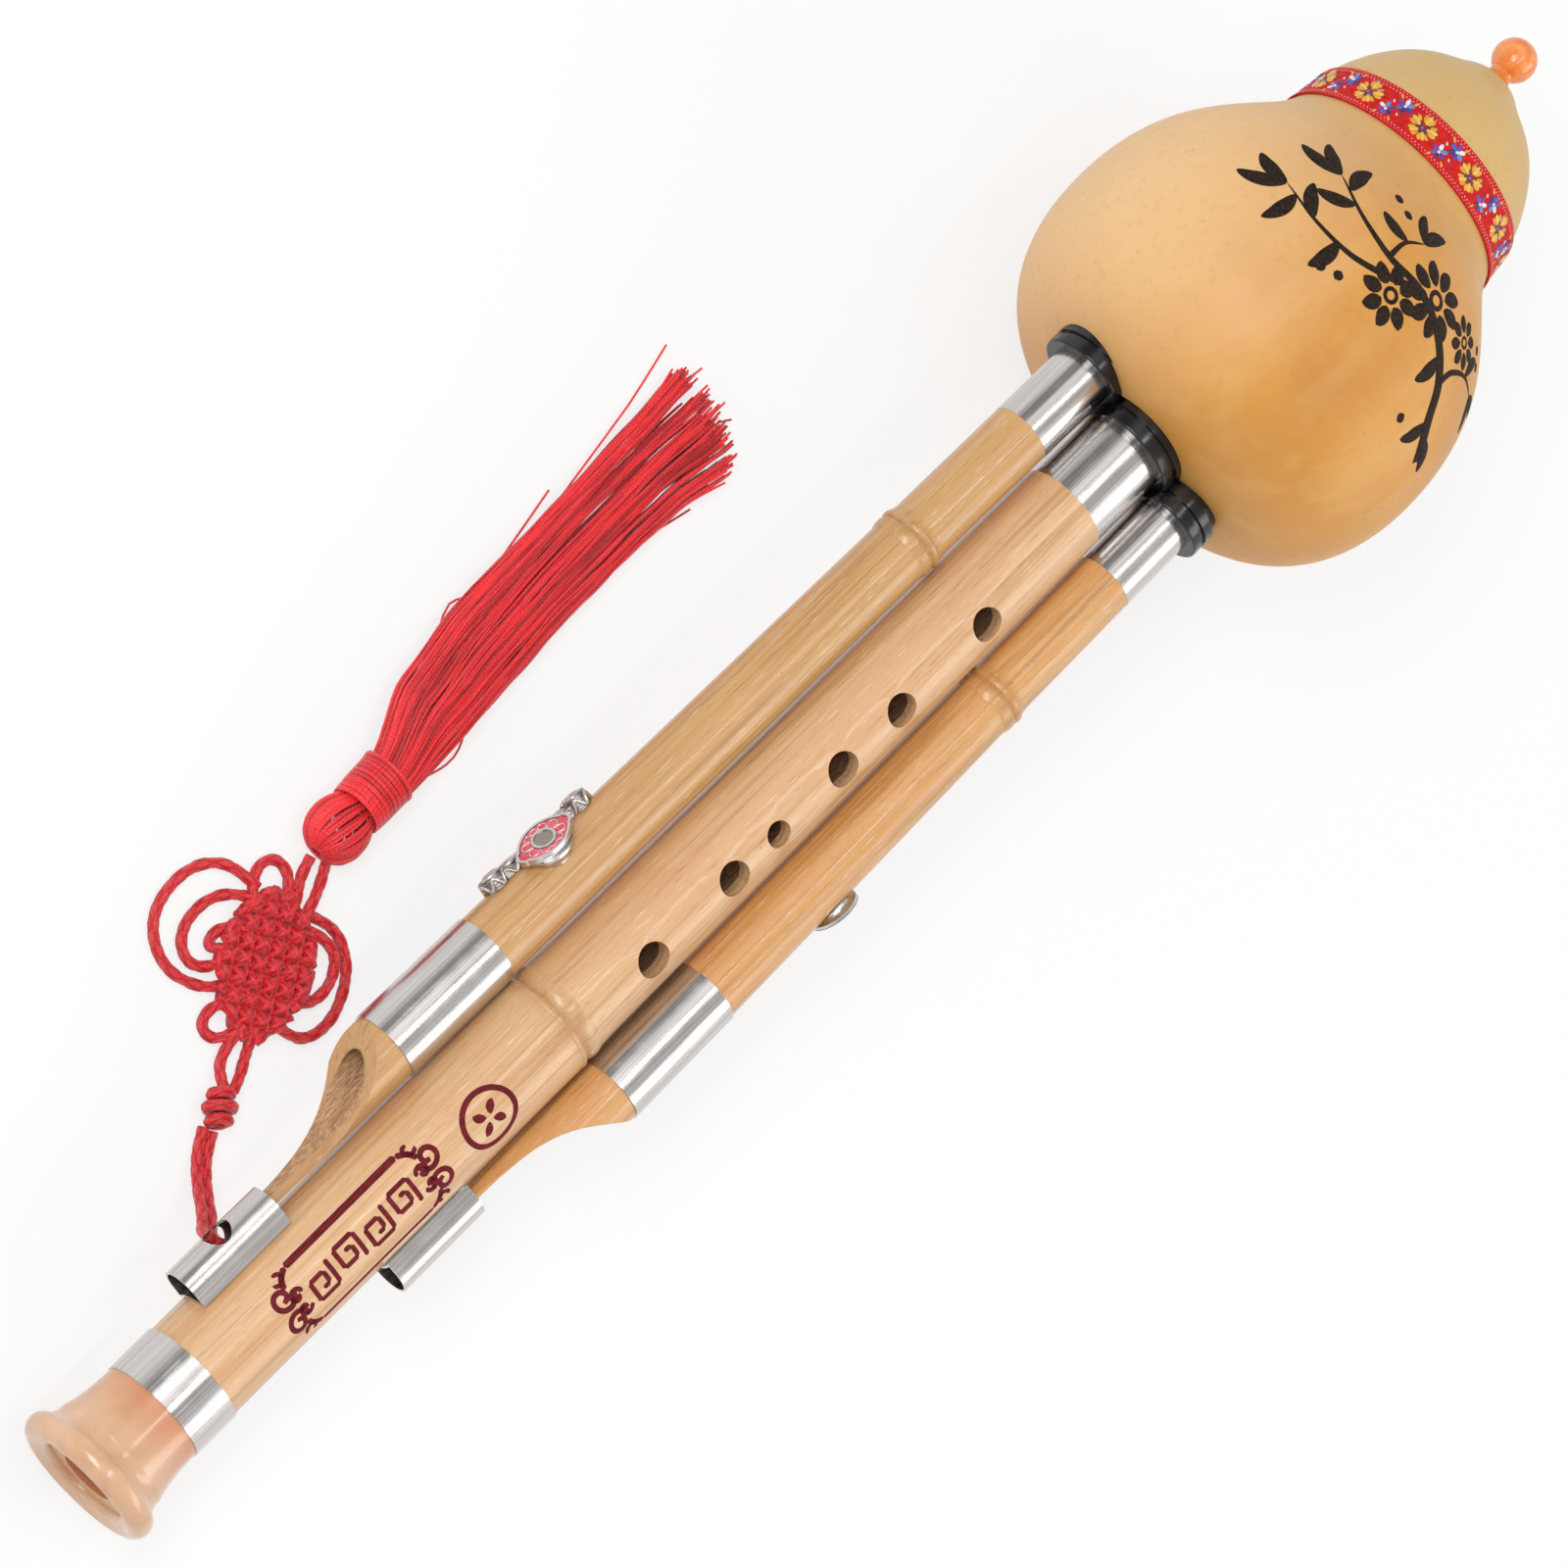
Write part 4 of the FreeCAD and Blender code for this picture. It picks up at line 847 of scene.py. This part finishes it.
# The head: threads doubled over the cord, swelling to a ball and gathered under the binding
# as (x, distance from its axis)
head_shape = [(-0.0919, 0.0012), (-0.0916, 0.0032), (-0.0902, 0.0052), (-0.0878, 0.0065), (-0.0850, 0.0068),
              (-0.0825, 0.0063), (-0.0806, 0.0055), (-0.0790, 0.0050)]
head_lines = []
head_threads = 66
for i in range(head_threads):
    around = 2 * math.pi * i / head_threads + draw.uniform(-0.012, 0.012)
    lean = draw.uniform(0.2, 0.27)
    lift = draw.uniform(0.95, 1.0)
    points = []
    for k, (x, ring) in enumerate(head_shape):
        angle = around + lean * k / 3
        points.append((x, head_centre.y + ring * lift * math.cos(angle),
                       max(0.0005, head_centre.z + ring * lift * 0.84 * math.sin(angle))))
    head_lines.append(smooth_line(points, 0.0006))
head = grown("tassel_head_threads", curve_object(head_lines, "POLY"), threads,
             {"Thread radius": 0.00037, "Sides": 6, "Finish": viscose_red_painted_light}, "main_pipe")
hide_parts("tassel_head")

# The cord's two hanging strands carry the knot, the ears and the tassel
for i, side in enumerate((-1, 1)):
    path = route([Vector(p) + strand_offset * side for p in hanging_points])
    cord_piece(f"hanging_strand_{i + 1}", path)
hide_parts("hanging_cord")


# What is burnt or engraved into a surface: strokes drawn in millimetres and laid on it

def leaf_width(t):
    """Share of a stroke's width at a share t of its length: pointed at both ends."""
    return math.sin(math.pi * t) ** 0.75


def line_width(t):
    return min(1.0, (t / 0.03) ** 0.5 if t < 0.03 else 1.0, ((1 - t) / 0.03) ** 0.5 if t > 0.97 else 1.0)


def taper_width(t):
    return (1 - t) ** 0.6


def strokes_mesh(strokes, cast, step, lift, sink):
    """Closed thin strips for strokes of (points, width, width rule, closed), cast on a surface."""
    verts, faces = [], []
    columns = (-1.0, -0.34, 0.34, 1.0)
    wide = len(columns)
    for points, width, rule, closed in strokes:
        line = smooth_line(points, step, closed)
        count = len(line)
        first = len(verts)
        for i, place in enumerate(line):
            last = line[i - 1] if i or closed else line[0]
            following = line[(i + 1) % count] if i + 1 < count or closed else line[-1]
            ahead = (following - last).normalized()
            side = Vector((-ahead.y, ahead.x))
            half = max(0.03, width / 2 * (1.0 if closed else rule(i / (count - 1))))
            above = [cast(place + side * half * c) for c in columns]
            verts += [p + n * lift for p, n in above] + [p - n * sink for p, n in above]
        rows = 2 * wide
        for i in range(count if closed else count - 1):
            a, b = first + i * rows, first + ((i + 1) % count) * rows
            for k in range(wide - 1):
                faces.append((a + k, b + k, b + k + 1, a + k + 1))
                faces.append((a + wide + k + 1, b + wide + k + 1, b + wide + k, a + wide + k))
            faces.append((a + wide, b + wide, b, a))
            faces.append((a + wide - 1, b + wide - 1, b + rows - 1, a + rows - 1))
        if not closed:
            for a, ends in ((first, 1), (first + (count - 1) * rows, -1)):
                cap = [a + k for k in range(wide)] + [a + rows - 1 - k for k in range(wide)]
                faces.append(tuple(cap[::ends]))
    return verts, faces


def surface_of(name):
    mesh = nodes[name].data
    return BVHTree.FromPolygons([v.co for v in mesh.vertices], [tuple(p.vertices) for p in mesh.polygons])


pipe_surface = surface_of("main_pipe")
gourd_surface = surface_of("gourd_shell")


pipe_radius = 11.9
belly_radius = 49.0


def on_pipe(place):
    """From (millimetres along the pipe, millimetres round it towards the left) to the pipe's surface."""
    angle = place[1] / pipe_radius
    out = turn @ Vector((0, math.sin(angle), math.cos(angle)))
    axis = flute @ Vector((place[0], 0, 0))
    hit = pipe_surface.ray_cast(axis + out * 0.03, -out)
    return hit[0], out


spray_middle = Vector((0.20, 0.10, 0.97)).normalized()
spray_along = (Vector((1, 0, 0)) - spray_middle * spray_middle.x).normalized()
spray_across = spray_middle.cross(spray_along)
gourd_middle = gourd @ Vector((0, 0, 0))


def on_belly(place):
    """From (millimetres towards the waist, millimetres towards the left) to the gourd's front."""
    reach = Vector(place).length
    if reach < 1e-6:
        out = spray_middle
    else:
        angle = reach / belly_radius
        aside = (spray_along * place[0] + spray_across * place[1]) / reach
        out = spray_middle * math.cos(angle) + aside * math.sin(angle)
    out = turn @ out
    hit = gourd_surface.ray_cast(gourd_middle + out * 0.1, -out)
    return hit[0], hit[1]


def turned_about(points, angle, place):
    """Points turned by an angle in radians and moved to a place."""
    c, s = math.cos(angle), math.sin(angle)
    return [(place[0] + x * c - y * s, place[1] + x * s + y * c) for x, y in points]


def leaf(place, angle, length, width):
    """A slightly bent lance leaf from a place, pointing in a direction in degrees."""
    bend = length * 0.08
    along = [(0, 0), (length * 0.35, bend), (length * 0.7, bend), (length, 0)]
    return (turned_about(along, math.radians(angle), place), width, leaf_width, False)


def daisy(place, size, petals, turned=0.0):
    """Petals round an open ring, with a dot in the middle."""
    made = []
    for k in range(petals):
        angle = 360 * k / petals + turned
        start = turned_about([(size * 0.34, 0)], math.radians(angle), place)[0]
        made.append(leaf(start, angle, size * 0.66, size * 1.9 * math.pi / petals * 0.62))
    ring = [(place[0] + size * 0.2 * math.cos(a), place[1] + size * 0.2 * math.sin(a))
            for a in (k * math.pi / 4 for k in range(8))]
    made.append((ring, size * 0.13, line_width, True))
    return made


def spray():
    """A branch in three arcs with lance leaves, three daisies and berries."""
    made = [
        ([(-9, -38), (-4, -30), (2, -24), (7, -15), (9, -5), (8, 5), (11, 15), (17, 23)], 3.3, taper_width, False),
        ([(2, -24), (7, -25), (12, -30), (14, -37)], 1.7, taper_width, False),
        ([(9, -5), (4, 3), (1, 12), (2, 22), (6, 31)], 1.9, taper_width, False),
        ([(8, 5), (14, 4), (19, 0)], 1.4, taper_width, False),
    ]
    for place, angle, length, width in (
            ((17, 23), 35, 10, 3.6), ((17, 23), 75, 11, 3.9), ((14.5, 19.5), -10, 10, 3.6), ((12, 17), 110, 9, 3.4),
            ((6, 31), 60, 10, 3.6), ((6, 31), 105, 11, 3.9), ((4.5, 28), 165, 10, 3.5), ((2.2, 22), 30, 9, 3.4),
            ((1.2, 15), 170, 9, 3.4), ((14, -37), -75, 9, 3.3), ((14, -37), -120, 9, 3.3), ((12, -30), -10, 8, 3.1),
            ((-4, -30), 165, 9, 3.4), ((-6, -33), -110, 9, 3.3), ((5, -19), 175, 9, 3.5), ((19, 0), -30, 9, 3.4),
            ((19, 0), 20, 8, 3.1), ((15, 3.6), 80, 8, 3.1)):
        made.append(leaf(place, angle, length, width))
    made += daisy((11.5, -9.5), 8.8, 9) + daisy((1.8, -0.5), 7.4, 8, 15) + daisy((15.0, -23.0), 6.0, 8, 5)
    berries = ((21.5, 6.5), (23.5, 10.0), (-4.5, 10.5), (-5.8, 14.5), (19.5, -33.0), (21.8, -30.0), (-10.8, -23.0))
    for x, y in berries:
        made.append(([(x - 1.2, y), (x, y), (x + 1.2, y)], 2.4, leaf_width, False))
    return made


def burnt(name, deep, lit, grain):
    """Branded into the surface: charred, matte, with the fibres still showing."""
    made, tree, shader = finish(name, Roughness=0.75, Specular_IOR_Level=0.2)
    char = node(tree, "ShaderNodeTexNoise", {"Vector": flute_place(tree, grain), "Scale": 1.0, "Detail": 3.0})
    link(tree, mixed(tree, ranged(tree, char.outputs[0], 0.35, 0.75), deep, lit), shader, "Base Color")
    raised(tree, shader, char.outputs[0], 0.3, 0.0001)
    return made


verts, faces = strokes_mesh(spray(), on_belly, 0.7, 0.00005, 0.00015)
piece("gourd_spray", "gourd", verts, faces, burnt("branded_gourd", "100B07", "3A281A", (1.5, 1.5, 1.5)))


def spiral(place, start, end, winds, size, hand):
    """A scroll that winds in to its middle."""
    points = []
    for k in range(13):
        t = k / 12
        angle = math.radians(start + hand * 360 * winds * t)
        reach = size * (1 - t * end)
        points.append((place[0] + reach * math.cos(angle), place[1] + reach * math.sin(angle)))
    return points


def cartouche():
    """A long frame with cut corners and scroll ends, and a row of four key frets in it."""
    middle, low = 73.2, -0.9
    made = []

    def stroke(points, width):
        made.append(([(middle + x, low + y) for x, y in points], width, line_width, False))

    for side, heavy in ((-1, 1.0), (1, 1.6)):
        stroke([(-15.8, 7.7 * side), (-6, 7.7 * side), (6, 7.7 * side), (15.8, 7.7 * side)], heavy)
        for way in (-1, 1):
            stroke([(15.8 * way, 7.7 * side), (18.0 * way, 6.3 * side), (19.0 * way, 4.3 * side)], 1.3)
            stroke(spiral((20.6 * way, 3.3 * side), 90 + 90 * way, 0.8, 1.35, 2.9, side * way), 1.2)
            stroke(spiral((18.0 * way, 1.6 * side), 0 if way < 0 else 180, 0.8, 1.1, 1.7, -side * way), 1.05)
            stroke(spiral((18.6 * way, 7.2 * side), 200 if way < 0 else -20, 0.75, 0.8, 1.8, -side * way), 1.0)
    for k in range(4):
        x = -11.7 + 7.8 * k
        hand = 1 if k % 2 else -1
        fret = [(2.7, -3.2 * hand), (2.7, 3.2 * hand), (-2.7, 3.2 * hand), (-2.7, -1.6 * hand), (1.0, -1.6 * hand),
                (1.0, 1.3 * hand), (-0.9, 1.3 * hand)]
        for a, b in zip(fret, fret[1:]):
            stroke([(x + a[0], a[1]), (x + (a[0] + b[0]) / 2, (a[1] + b[1]) / 2), (x + b[0], b[1])], 1.05)
    return made


def key_ring():
    """An open ring with a four-petal flower in it."""
    middle = (108.9, -1.4)
    ring = [(middle[0] + 6.3 * math.cos(a), middle[1] + 6.0 * math.sin(a)) for a in (k * math.pi / 8 for k in range(16))]
    made = [(ring, 1.25, line_width, True)]
    for k in range(4):
        start = turned_about([(0.8, 0)], math.radians(45 + 90 * k), middle)[0]
        made.append(leaf(start, 45 + 90 * k, 3.2, 1.9))
    return made


verts, faces = strokes_mesh(cartouche() + key_ring(), on_pipe, 0.5, 0.00004, 0.00015)
piece("pipe_engraving", "main_pipe", verts, faces,
      burnt("engraved_maroon", "560D18", "82222C", (0.5, 2.5, 2.5)))


# Ribbon round the waist: a woven band whose ends overlap at the back, with flowers in its weave

def woven_band():
    """Jacquard ribbon: red satin with fine crossed threads, drawn over its own length and width in millimetres."""
    made, tree, shader = finish("woven_satin_ribbon", Roughness=0.6, Specular_IOR_Level=0.2)
    lay = node(tree, "ShaderNodeUVMap").outputs[0]
    place = node(tree, "ShaderNodeSeparateXYZ", {0: lay})
    waves = []
    for i, spacing in ((0, 0.42), (1, 0.5)):
        phase = node(tree, "ShaderNodeMath", {0: place.outputs[i], 1: 2 * math.pi / spacing}, operation="MULTIPLY")
        waves.append(node(tree, "ShaderNodeMath", {0: phase.outputs[0]}, operation="SINE").outputs[0])
    crossed = node(tree, "ShaderNodeMath", {0: waves[0], 1: waves[1]}, operation="MULTIPLY").outputs[0]
    worn = node(tree, "ShaderNodeTexNoise", {"Vector": lay, "Scale": 0.8, "Detail": 3.0}).outputs[0]
    share = node(tree, "ShaderNodeMath", {0: ranged(tree, crossed, -1, 1, 0.5, 1), 1: worn}, operation="MULTIPLY")
    link(tree, mixed(tree, ranged(tree, share.outputs[0], 0.2, 0.55), "B20E0E", "DE2420"), shader, "Base Color")
    raised(tree, shader, crossed, 0.5, 0.0001)
    return made


# The ribbon's lower edge and middle line along the gourd, and its reach from the gourd's axis
band_low = 46.8
band_middle = 4.8
band_reach = 28.3


def on_band(place):
    """From (millimetres round the waist, millimetres across the ribbon) to the gourd's surface and outwards."""
    angle = place[0] / band_reach
    across = band_low + place[1]
    inside = gourd @ Vector((across, 0, 0))
    outside = gourd @ Vector((across, 60 * math.sin(angle), 60 * math.cos(angle)))
    out = (outside - inside).normalized()
    hit = gourd_surface.ray_cast(outside, -out)
    return hit[0], out


verts, faces, uvs = [], [], []
around = 2 * math.pi * band_reach
# Height over the gourd at places across the ribbon: the selvedges are a little thicker
profile = [(0.0, 0.12), (0.0, 0.62), (0.35, 0.68), (0.8, 0.58), (4.8, 0.58), (8.8, 0.58), (9.25, 0.68), (9.6, 0.62),
           (9.6, 0.12), (4.8, 0.12)]
steps = 220
overlap = 5.0
for i in range(steps + 1):
    run = -around / 2 + (around + overlap) * i / steps
    over = max(0.0, min(1.0, (run - around / 2 + 3.0) / 3.0)) * 0.62
    for across, height in profile:
        place, out = on_band((run, across))
        verts.append(place + out * (height + over) * MM)
        uvs.append((run, across))
rows = len(profile)
for i in range(steps):
    for k in range(rows):
        n = (k + 1) % rows
        faces.append((i * rows + k, (i + 1) * rows + k, (i + 1) * rows + n, i * rows + n))
faces.append(tuple(range(rows)))
faces.append(tuple(reversed(range(steps * rows, (steps + 1) * rows))))
ribbon = piece("ribbon_band", "gourd", verts, faces, woven_band(), uvs)
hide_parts("waist_ribbon")


def stitches_tree():
    """A raised stitch at every place, lying and sized as the place says, in its own colour."""
    tree, given = growing_tree("stitches", [("Places", "Geometry"), ("Sides", "Int"), ("Finish", "Material")])
    lie, up, size = (node(tree, "GeometryNodeInputNamedAttribute", {"Name": name},
                          data_type="FLOAT_VECTOR").outputs["Attribute"] for name in ("lie", "up", "size"))
    upright = node(tree, "FunctionNodeAlignRotationToVector", {"Vector": up}, axis="Z")
    aimed = node(tree, "FunctionNodeAlignRotationToVector", {"Rotation": upright.outputs[0], "Vector": lie},
                 axis="X", pivot_axis="Z")
    places = node(tree, "GeometryNodeMeshToPoints", {"Mesh": given.outputs["Places"]})
    grain = node(tree, "GeometryNodeMeshUVSphere", {"Segments": given.outputs["Sides"], "Rings": 5, "Radius": 0.5})
    placed = node(tree, "GeometryNodeInstanceOnPoints", {"Points": places.outputs[0], "Instance": grain.outputs[0],
                                                         "Rotation": aimed.outputs[0], "Scale": size})
    return given_out(tree, placed, given.outputs["Finish"])


def coloured_thread():
    """Rayon weft floats, glossy, each in the colour kept on it."""
    made, tree, shader = finish("rayon_weft_floats", Roughness=0.4, Sheen_Weight=0.2, Sheen_Roughness=0.4)
    tint = node(tree, "ShaderNodeAttribute", attribute_name="tint").outputs["Color"]
    fuzz = node(tree, "ShaderNodeTexNoise", {"Vector": flute_place(tree), "Scale": 3.0, "Detail": 3.0}).outputs[0]
    link(tree, mixed(tree, ranged(tree, fuzz, 0.35, 0.65, 0.25, 0.0), tint, "2A1410"), shader, "Base Color")
    return made


def stitched(name, rows, cast, body):
    """Stitches from rows of (place, direction in degrees, length, width, height, colour), laid by cast."""
    start = bpy.data.meshes.new(name)
    laid = []
    for place, angle, length, width, height, code in rows:
        here, out = cast(place)
        lie = math.radians(angle)
        ahead = cast((place[0] + 0.3 * math.cos(lie), place[1] + 0.3 * math.sin(lie)))[0]
        laid.append((here + out * 0.00058, (ahead - here).normalized(), out, (length * MM, width * MM, height * MM),
                     colour(code)))
    start.from_pydata([tuple(row[0]) for row in laid], [], [])
    for i, (key, kind) in enumerate((("lie", "FLOAT_VECTOR"), ("up", "FLOAT_VECTOR"), ("size", "FLOAT_VECTOR"),
                                     ("tint", "FLOAT_COLOR"))):
        kept = start.attributes.new(key, kind, "POINT")
        kept.data.foreach_set("color" if kind == "FLOAT_COLOR" else "vector", [c for row in laid for c in row[i + 1]])
    made = bpy.data.objects.new(name, start)
    scene.collection.objects.link(made)
    return grown(name, made, stitches_tree(), {"Sides": 7, "Finish": coloured_thread()}, body)


def ribbon_flowers():
    """Twelve yellow flowers, with a pair of small blue ones between each two, and dotted edges."""
    rows = []
    count = 12
    period = around / count
    for k in range(count):
        middle = 0.03 * band_reach + period * (k - count // 2)
        for petal in range(5):
            angle = 90 + 72 * petal
            c, sn = math.cos(math.radians(angle)), math.sin(math.radians(angle))
            rows.append(((middle + 2.1 * c, band_middle + 2.1 * sn), angle, 3.5, 3.0, 0.16, "6E2A16"))
            for j, code in ((-1, "E09A2A"), (0, "F6BE48"), (1, "EBAA38")):
                place = (middle + 2.25 * c - 0.78 * j * sn, band_middle + 2.25 * sn + 0.78 * j * c)
                rows.append((place, angle + 14 * j, 3.0 - 0.7 * abs(j), 1.25, 0.36, code))
        rows.append(((middle, band_middle), 0, 1.6, 1.5, 0.4, "5C2F78"))
        rows.append(((middle + 0.1, band_middle), 0, 0.7, 0.6, 0.6, "E8642C"))
        for way in (-1, 1):
            x, y = middle + period / 2 + 1.45 * way, band_middle - 1.55 * way
            for petal in range(6):
                angle = 20 + 60 * petal
                c, sn = math.cos(math.radians(angle)), math.sin(math.radians(angle))
                code = ("2C63C9", "6A3CA6", "EDE8F0", "3C97DC", "4E2A92", "2A2478")[(petal + k + (way > 0)) % 6]
                rows.append(((x + 1.2 * c, y + 1.2 * sn), angle, 1.9, 1.1, 0.34, code))
            rows.append(((x, y), 0, 0.8, 0.8, 0.5, "F4E9DA"))
            rows.append(((x - 2.2 * way, y - 1.7 * way), 35, 1.7, 0.6, 0.3, "E0A038"))
            rows.append(((x + 1.5 * way, y - 2.0 * way), 120, 1.4, 0.6, 0.3, "D8A93A"))
            rows.append(((x - 2.8 * way, y + 0.3 * way), 60, 1.0, 0.5, 0.3, "C2DDF0"))
    dots = round(around / 0.92)
    for k in range(dots):
        for across, shift in ((0.45, 0), (1.15, 0.5), (8.45, 0.5), (9.15, 0)):
            rows.append((((k + shift) * around / dots - around / 2, across), 0, 0.5, 0.4, 0.22, "EE8F92"))
    return rows


stitched("ribbon_weft", ribbon_flowers(), on_band, "gourd")


# The left drone's stopper: enamel with raised wires in the plaque, and cast scrolls on the bar under it

def stopper_frame(lean):
    """From a stopper's own frame (height over the drone's axis, along it, across it) to laid metres."""
    return (flute @ Matrix.Translation((0, 21.967, 0)) @ Matrix.Rotation(math.radians(-0.7), 4, "Z")
            @ Matrix.Translation((156.0, 0, 0)) @ Matrix.Rotation(math.radians(lean), 4, "X")
            @ Matrix.Rotation(math.radians(90), 4, "Z"))


def plaque_reach(angle, inset):
    """How far the plaque's outline lies from its middle, moved inwards by inset."""
    a, b, c = 7.3 - inset, 4.9 - inset, 1.8 - 0.6 * inset
    side = a - 1.2
    waist = (side * side + (b - c) ** 2) / (2 * (b - c))
    reach = 0.0
    while reach < 8:
        x, y = abs(reach * math.cos(angle)), abs(reach * math.sin(angle))
        limit = b - waist + math.sqrt(waist * waist - x * x) if x <= side else c * max(0.0, (a - x) / 1.2) ** 0.6
        if x > a or y > limit:
            break
        reach += 0.04
    return reach


def enamel():
    """Vitreous enamel: a deep rose glass, pooled unevenly in the recess, with a hard gloss."""
    made, tree, shader = finish("rose_enamel", Roughness=0.16, Coat_Weight=0.5, Coat_Roughness=0.05)
    pool = node(tree, "ShaderNodeTexNoise", {"Vector": flute_place(tree), "Scale": 0.5, "Detail": 3.0}).outputs[0]
    link(tree, mixed(tree, ranged(tree, pool, 0.35, 0.65), "C4283C", "E0566A"), shader, "Base Color")
    raised(tree, shader, pool, 0.1, 0.0002)
    return made


plaque = stopper_frame(21.5)
plaque_floor = 10.86
inner_ring = 2.8
around_steps = 96
rings = []
for share, height in ((0.0, 0.0), (0.0, 0.12), (0.15, 0.17), (0.85, 0.17), (1.0, 0.12), (1.0, 0.0)):
    ring = []
    for k in range(around_steps):
        angle = 2 * math.pi * k / around_steps
        reach = inner_ring + (plaque_reach(angle, 0.62) - inner_ring) * share
        ring.append(plaque @ Vector((plaque_floor + height, reach * math.cos(angle), reach * math.sin(angle))))
    rings.append(ring)
verts = [v for ring in rings for v in ring]
faces = []
for r in range(len(rings)):
    n = (r + 1) % len(rings)
    for k in range(around_steps):
        m = (k + 1) % around_steps
        faces.append((r * around_steps + k, r * around_steps + m, n * around_steps + m, n * around_steps + k))
piece("plaque_enamel", "left_stopper", verts, faces, enamel())


def wires(own, lines, radius, name, body, look):
    """Round wires along lines given as (along, across, height) in a stopper's own frame."""
    parts = []
    for line in lines:
        path = [own @ Vector((z, x, y)) for x, y, z in smooth_line(line, 0.25)]
        parts.append(tube(path, radius * MM, groove=0.0, sides=10))
    verts, faces, uvs = joined(parts)
    piece(name, body, verts, faces, look, uvs)


# Ten petals of wire round the plaque's inner ring
petals_from = inner_ring + 0.15
petal_lines = []
wire_height = plaque_floor + 0.16
for k in range(10):
    middle = 2 * math.pi * (k + 0.5) / 10
    reach = min(plaque_reach(middle, 1.0), 5.6)
    line = []
    for aside, share in ((-0.26, 0), (-0.24, 0.6), (-0.1, 0.93), (0.1, 0.93), (0.24, 0.6), (0.26, 0)):
        out = petals_from + (reach - petals_from) * share
        line.append((out * math.cos(middle + aside), out * math.sin(middle + aside), wire_height))
    petal_lines.append(line)
pale_metal = nickel("gilded_pale_wire", "F0DCD2", 0.3, 0.1)
wires(plaque, petal_lines, 0.15, "plaque_wires", "left_stopper", pale_metal)

bar = stopper_frame(-14.0)
scrolls = []
for way in (-1, 1):
    end = 11.9 * way
    winding = [(2.5 * (1 - k / 26), k * 0.62 * way) for k in range(20)]
    scrolls.append([(end + reach * math.cos(angle), reach * math.sin(angle), 10.15) for reach, angle in winding])
    for side in (-1, 1):
        scrolls.append([(9.4 * way, 0.3 * side, 9.4), (8.2 * way, 1.8 * side, 9.5), (6.4 * way, 1.9 * side, 9.5),
                        (5.6 * way, 0.7 * side, 9.6), (6.6 * way, 0.2 * side, 9.6), (7.2 * way, 0.9 * side, 9.6)])
        scrolls.append([(5.2 * way, 1.9 * side, 9.3), (3.4 * way, 1.2 * side, 9.4), (2.2 * way, 2.0 * side, 9.3)])
    scrolls.append([(end + 3.1 * math.cos(k * math.pi / 16), 3.1 * math.sin(k * math.pi / 16),
                     8.5 + 1.1 * math.sin(k * math.pi * 6 / 16)) for k in range(33)])
for side in (-1, 1):
    scrolls.append([(-9.0 + 0.6 * k, 2.35 * side, 8.1 + 0.8 * math.sin(k * 1.1)) for k in range(31)])
wires(bar, scrolls, 0.42, "bar_scrolls", "left_drone", nickel("bright_cast_metal", "DAD4D0", 0.2, 0.2))
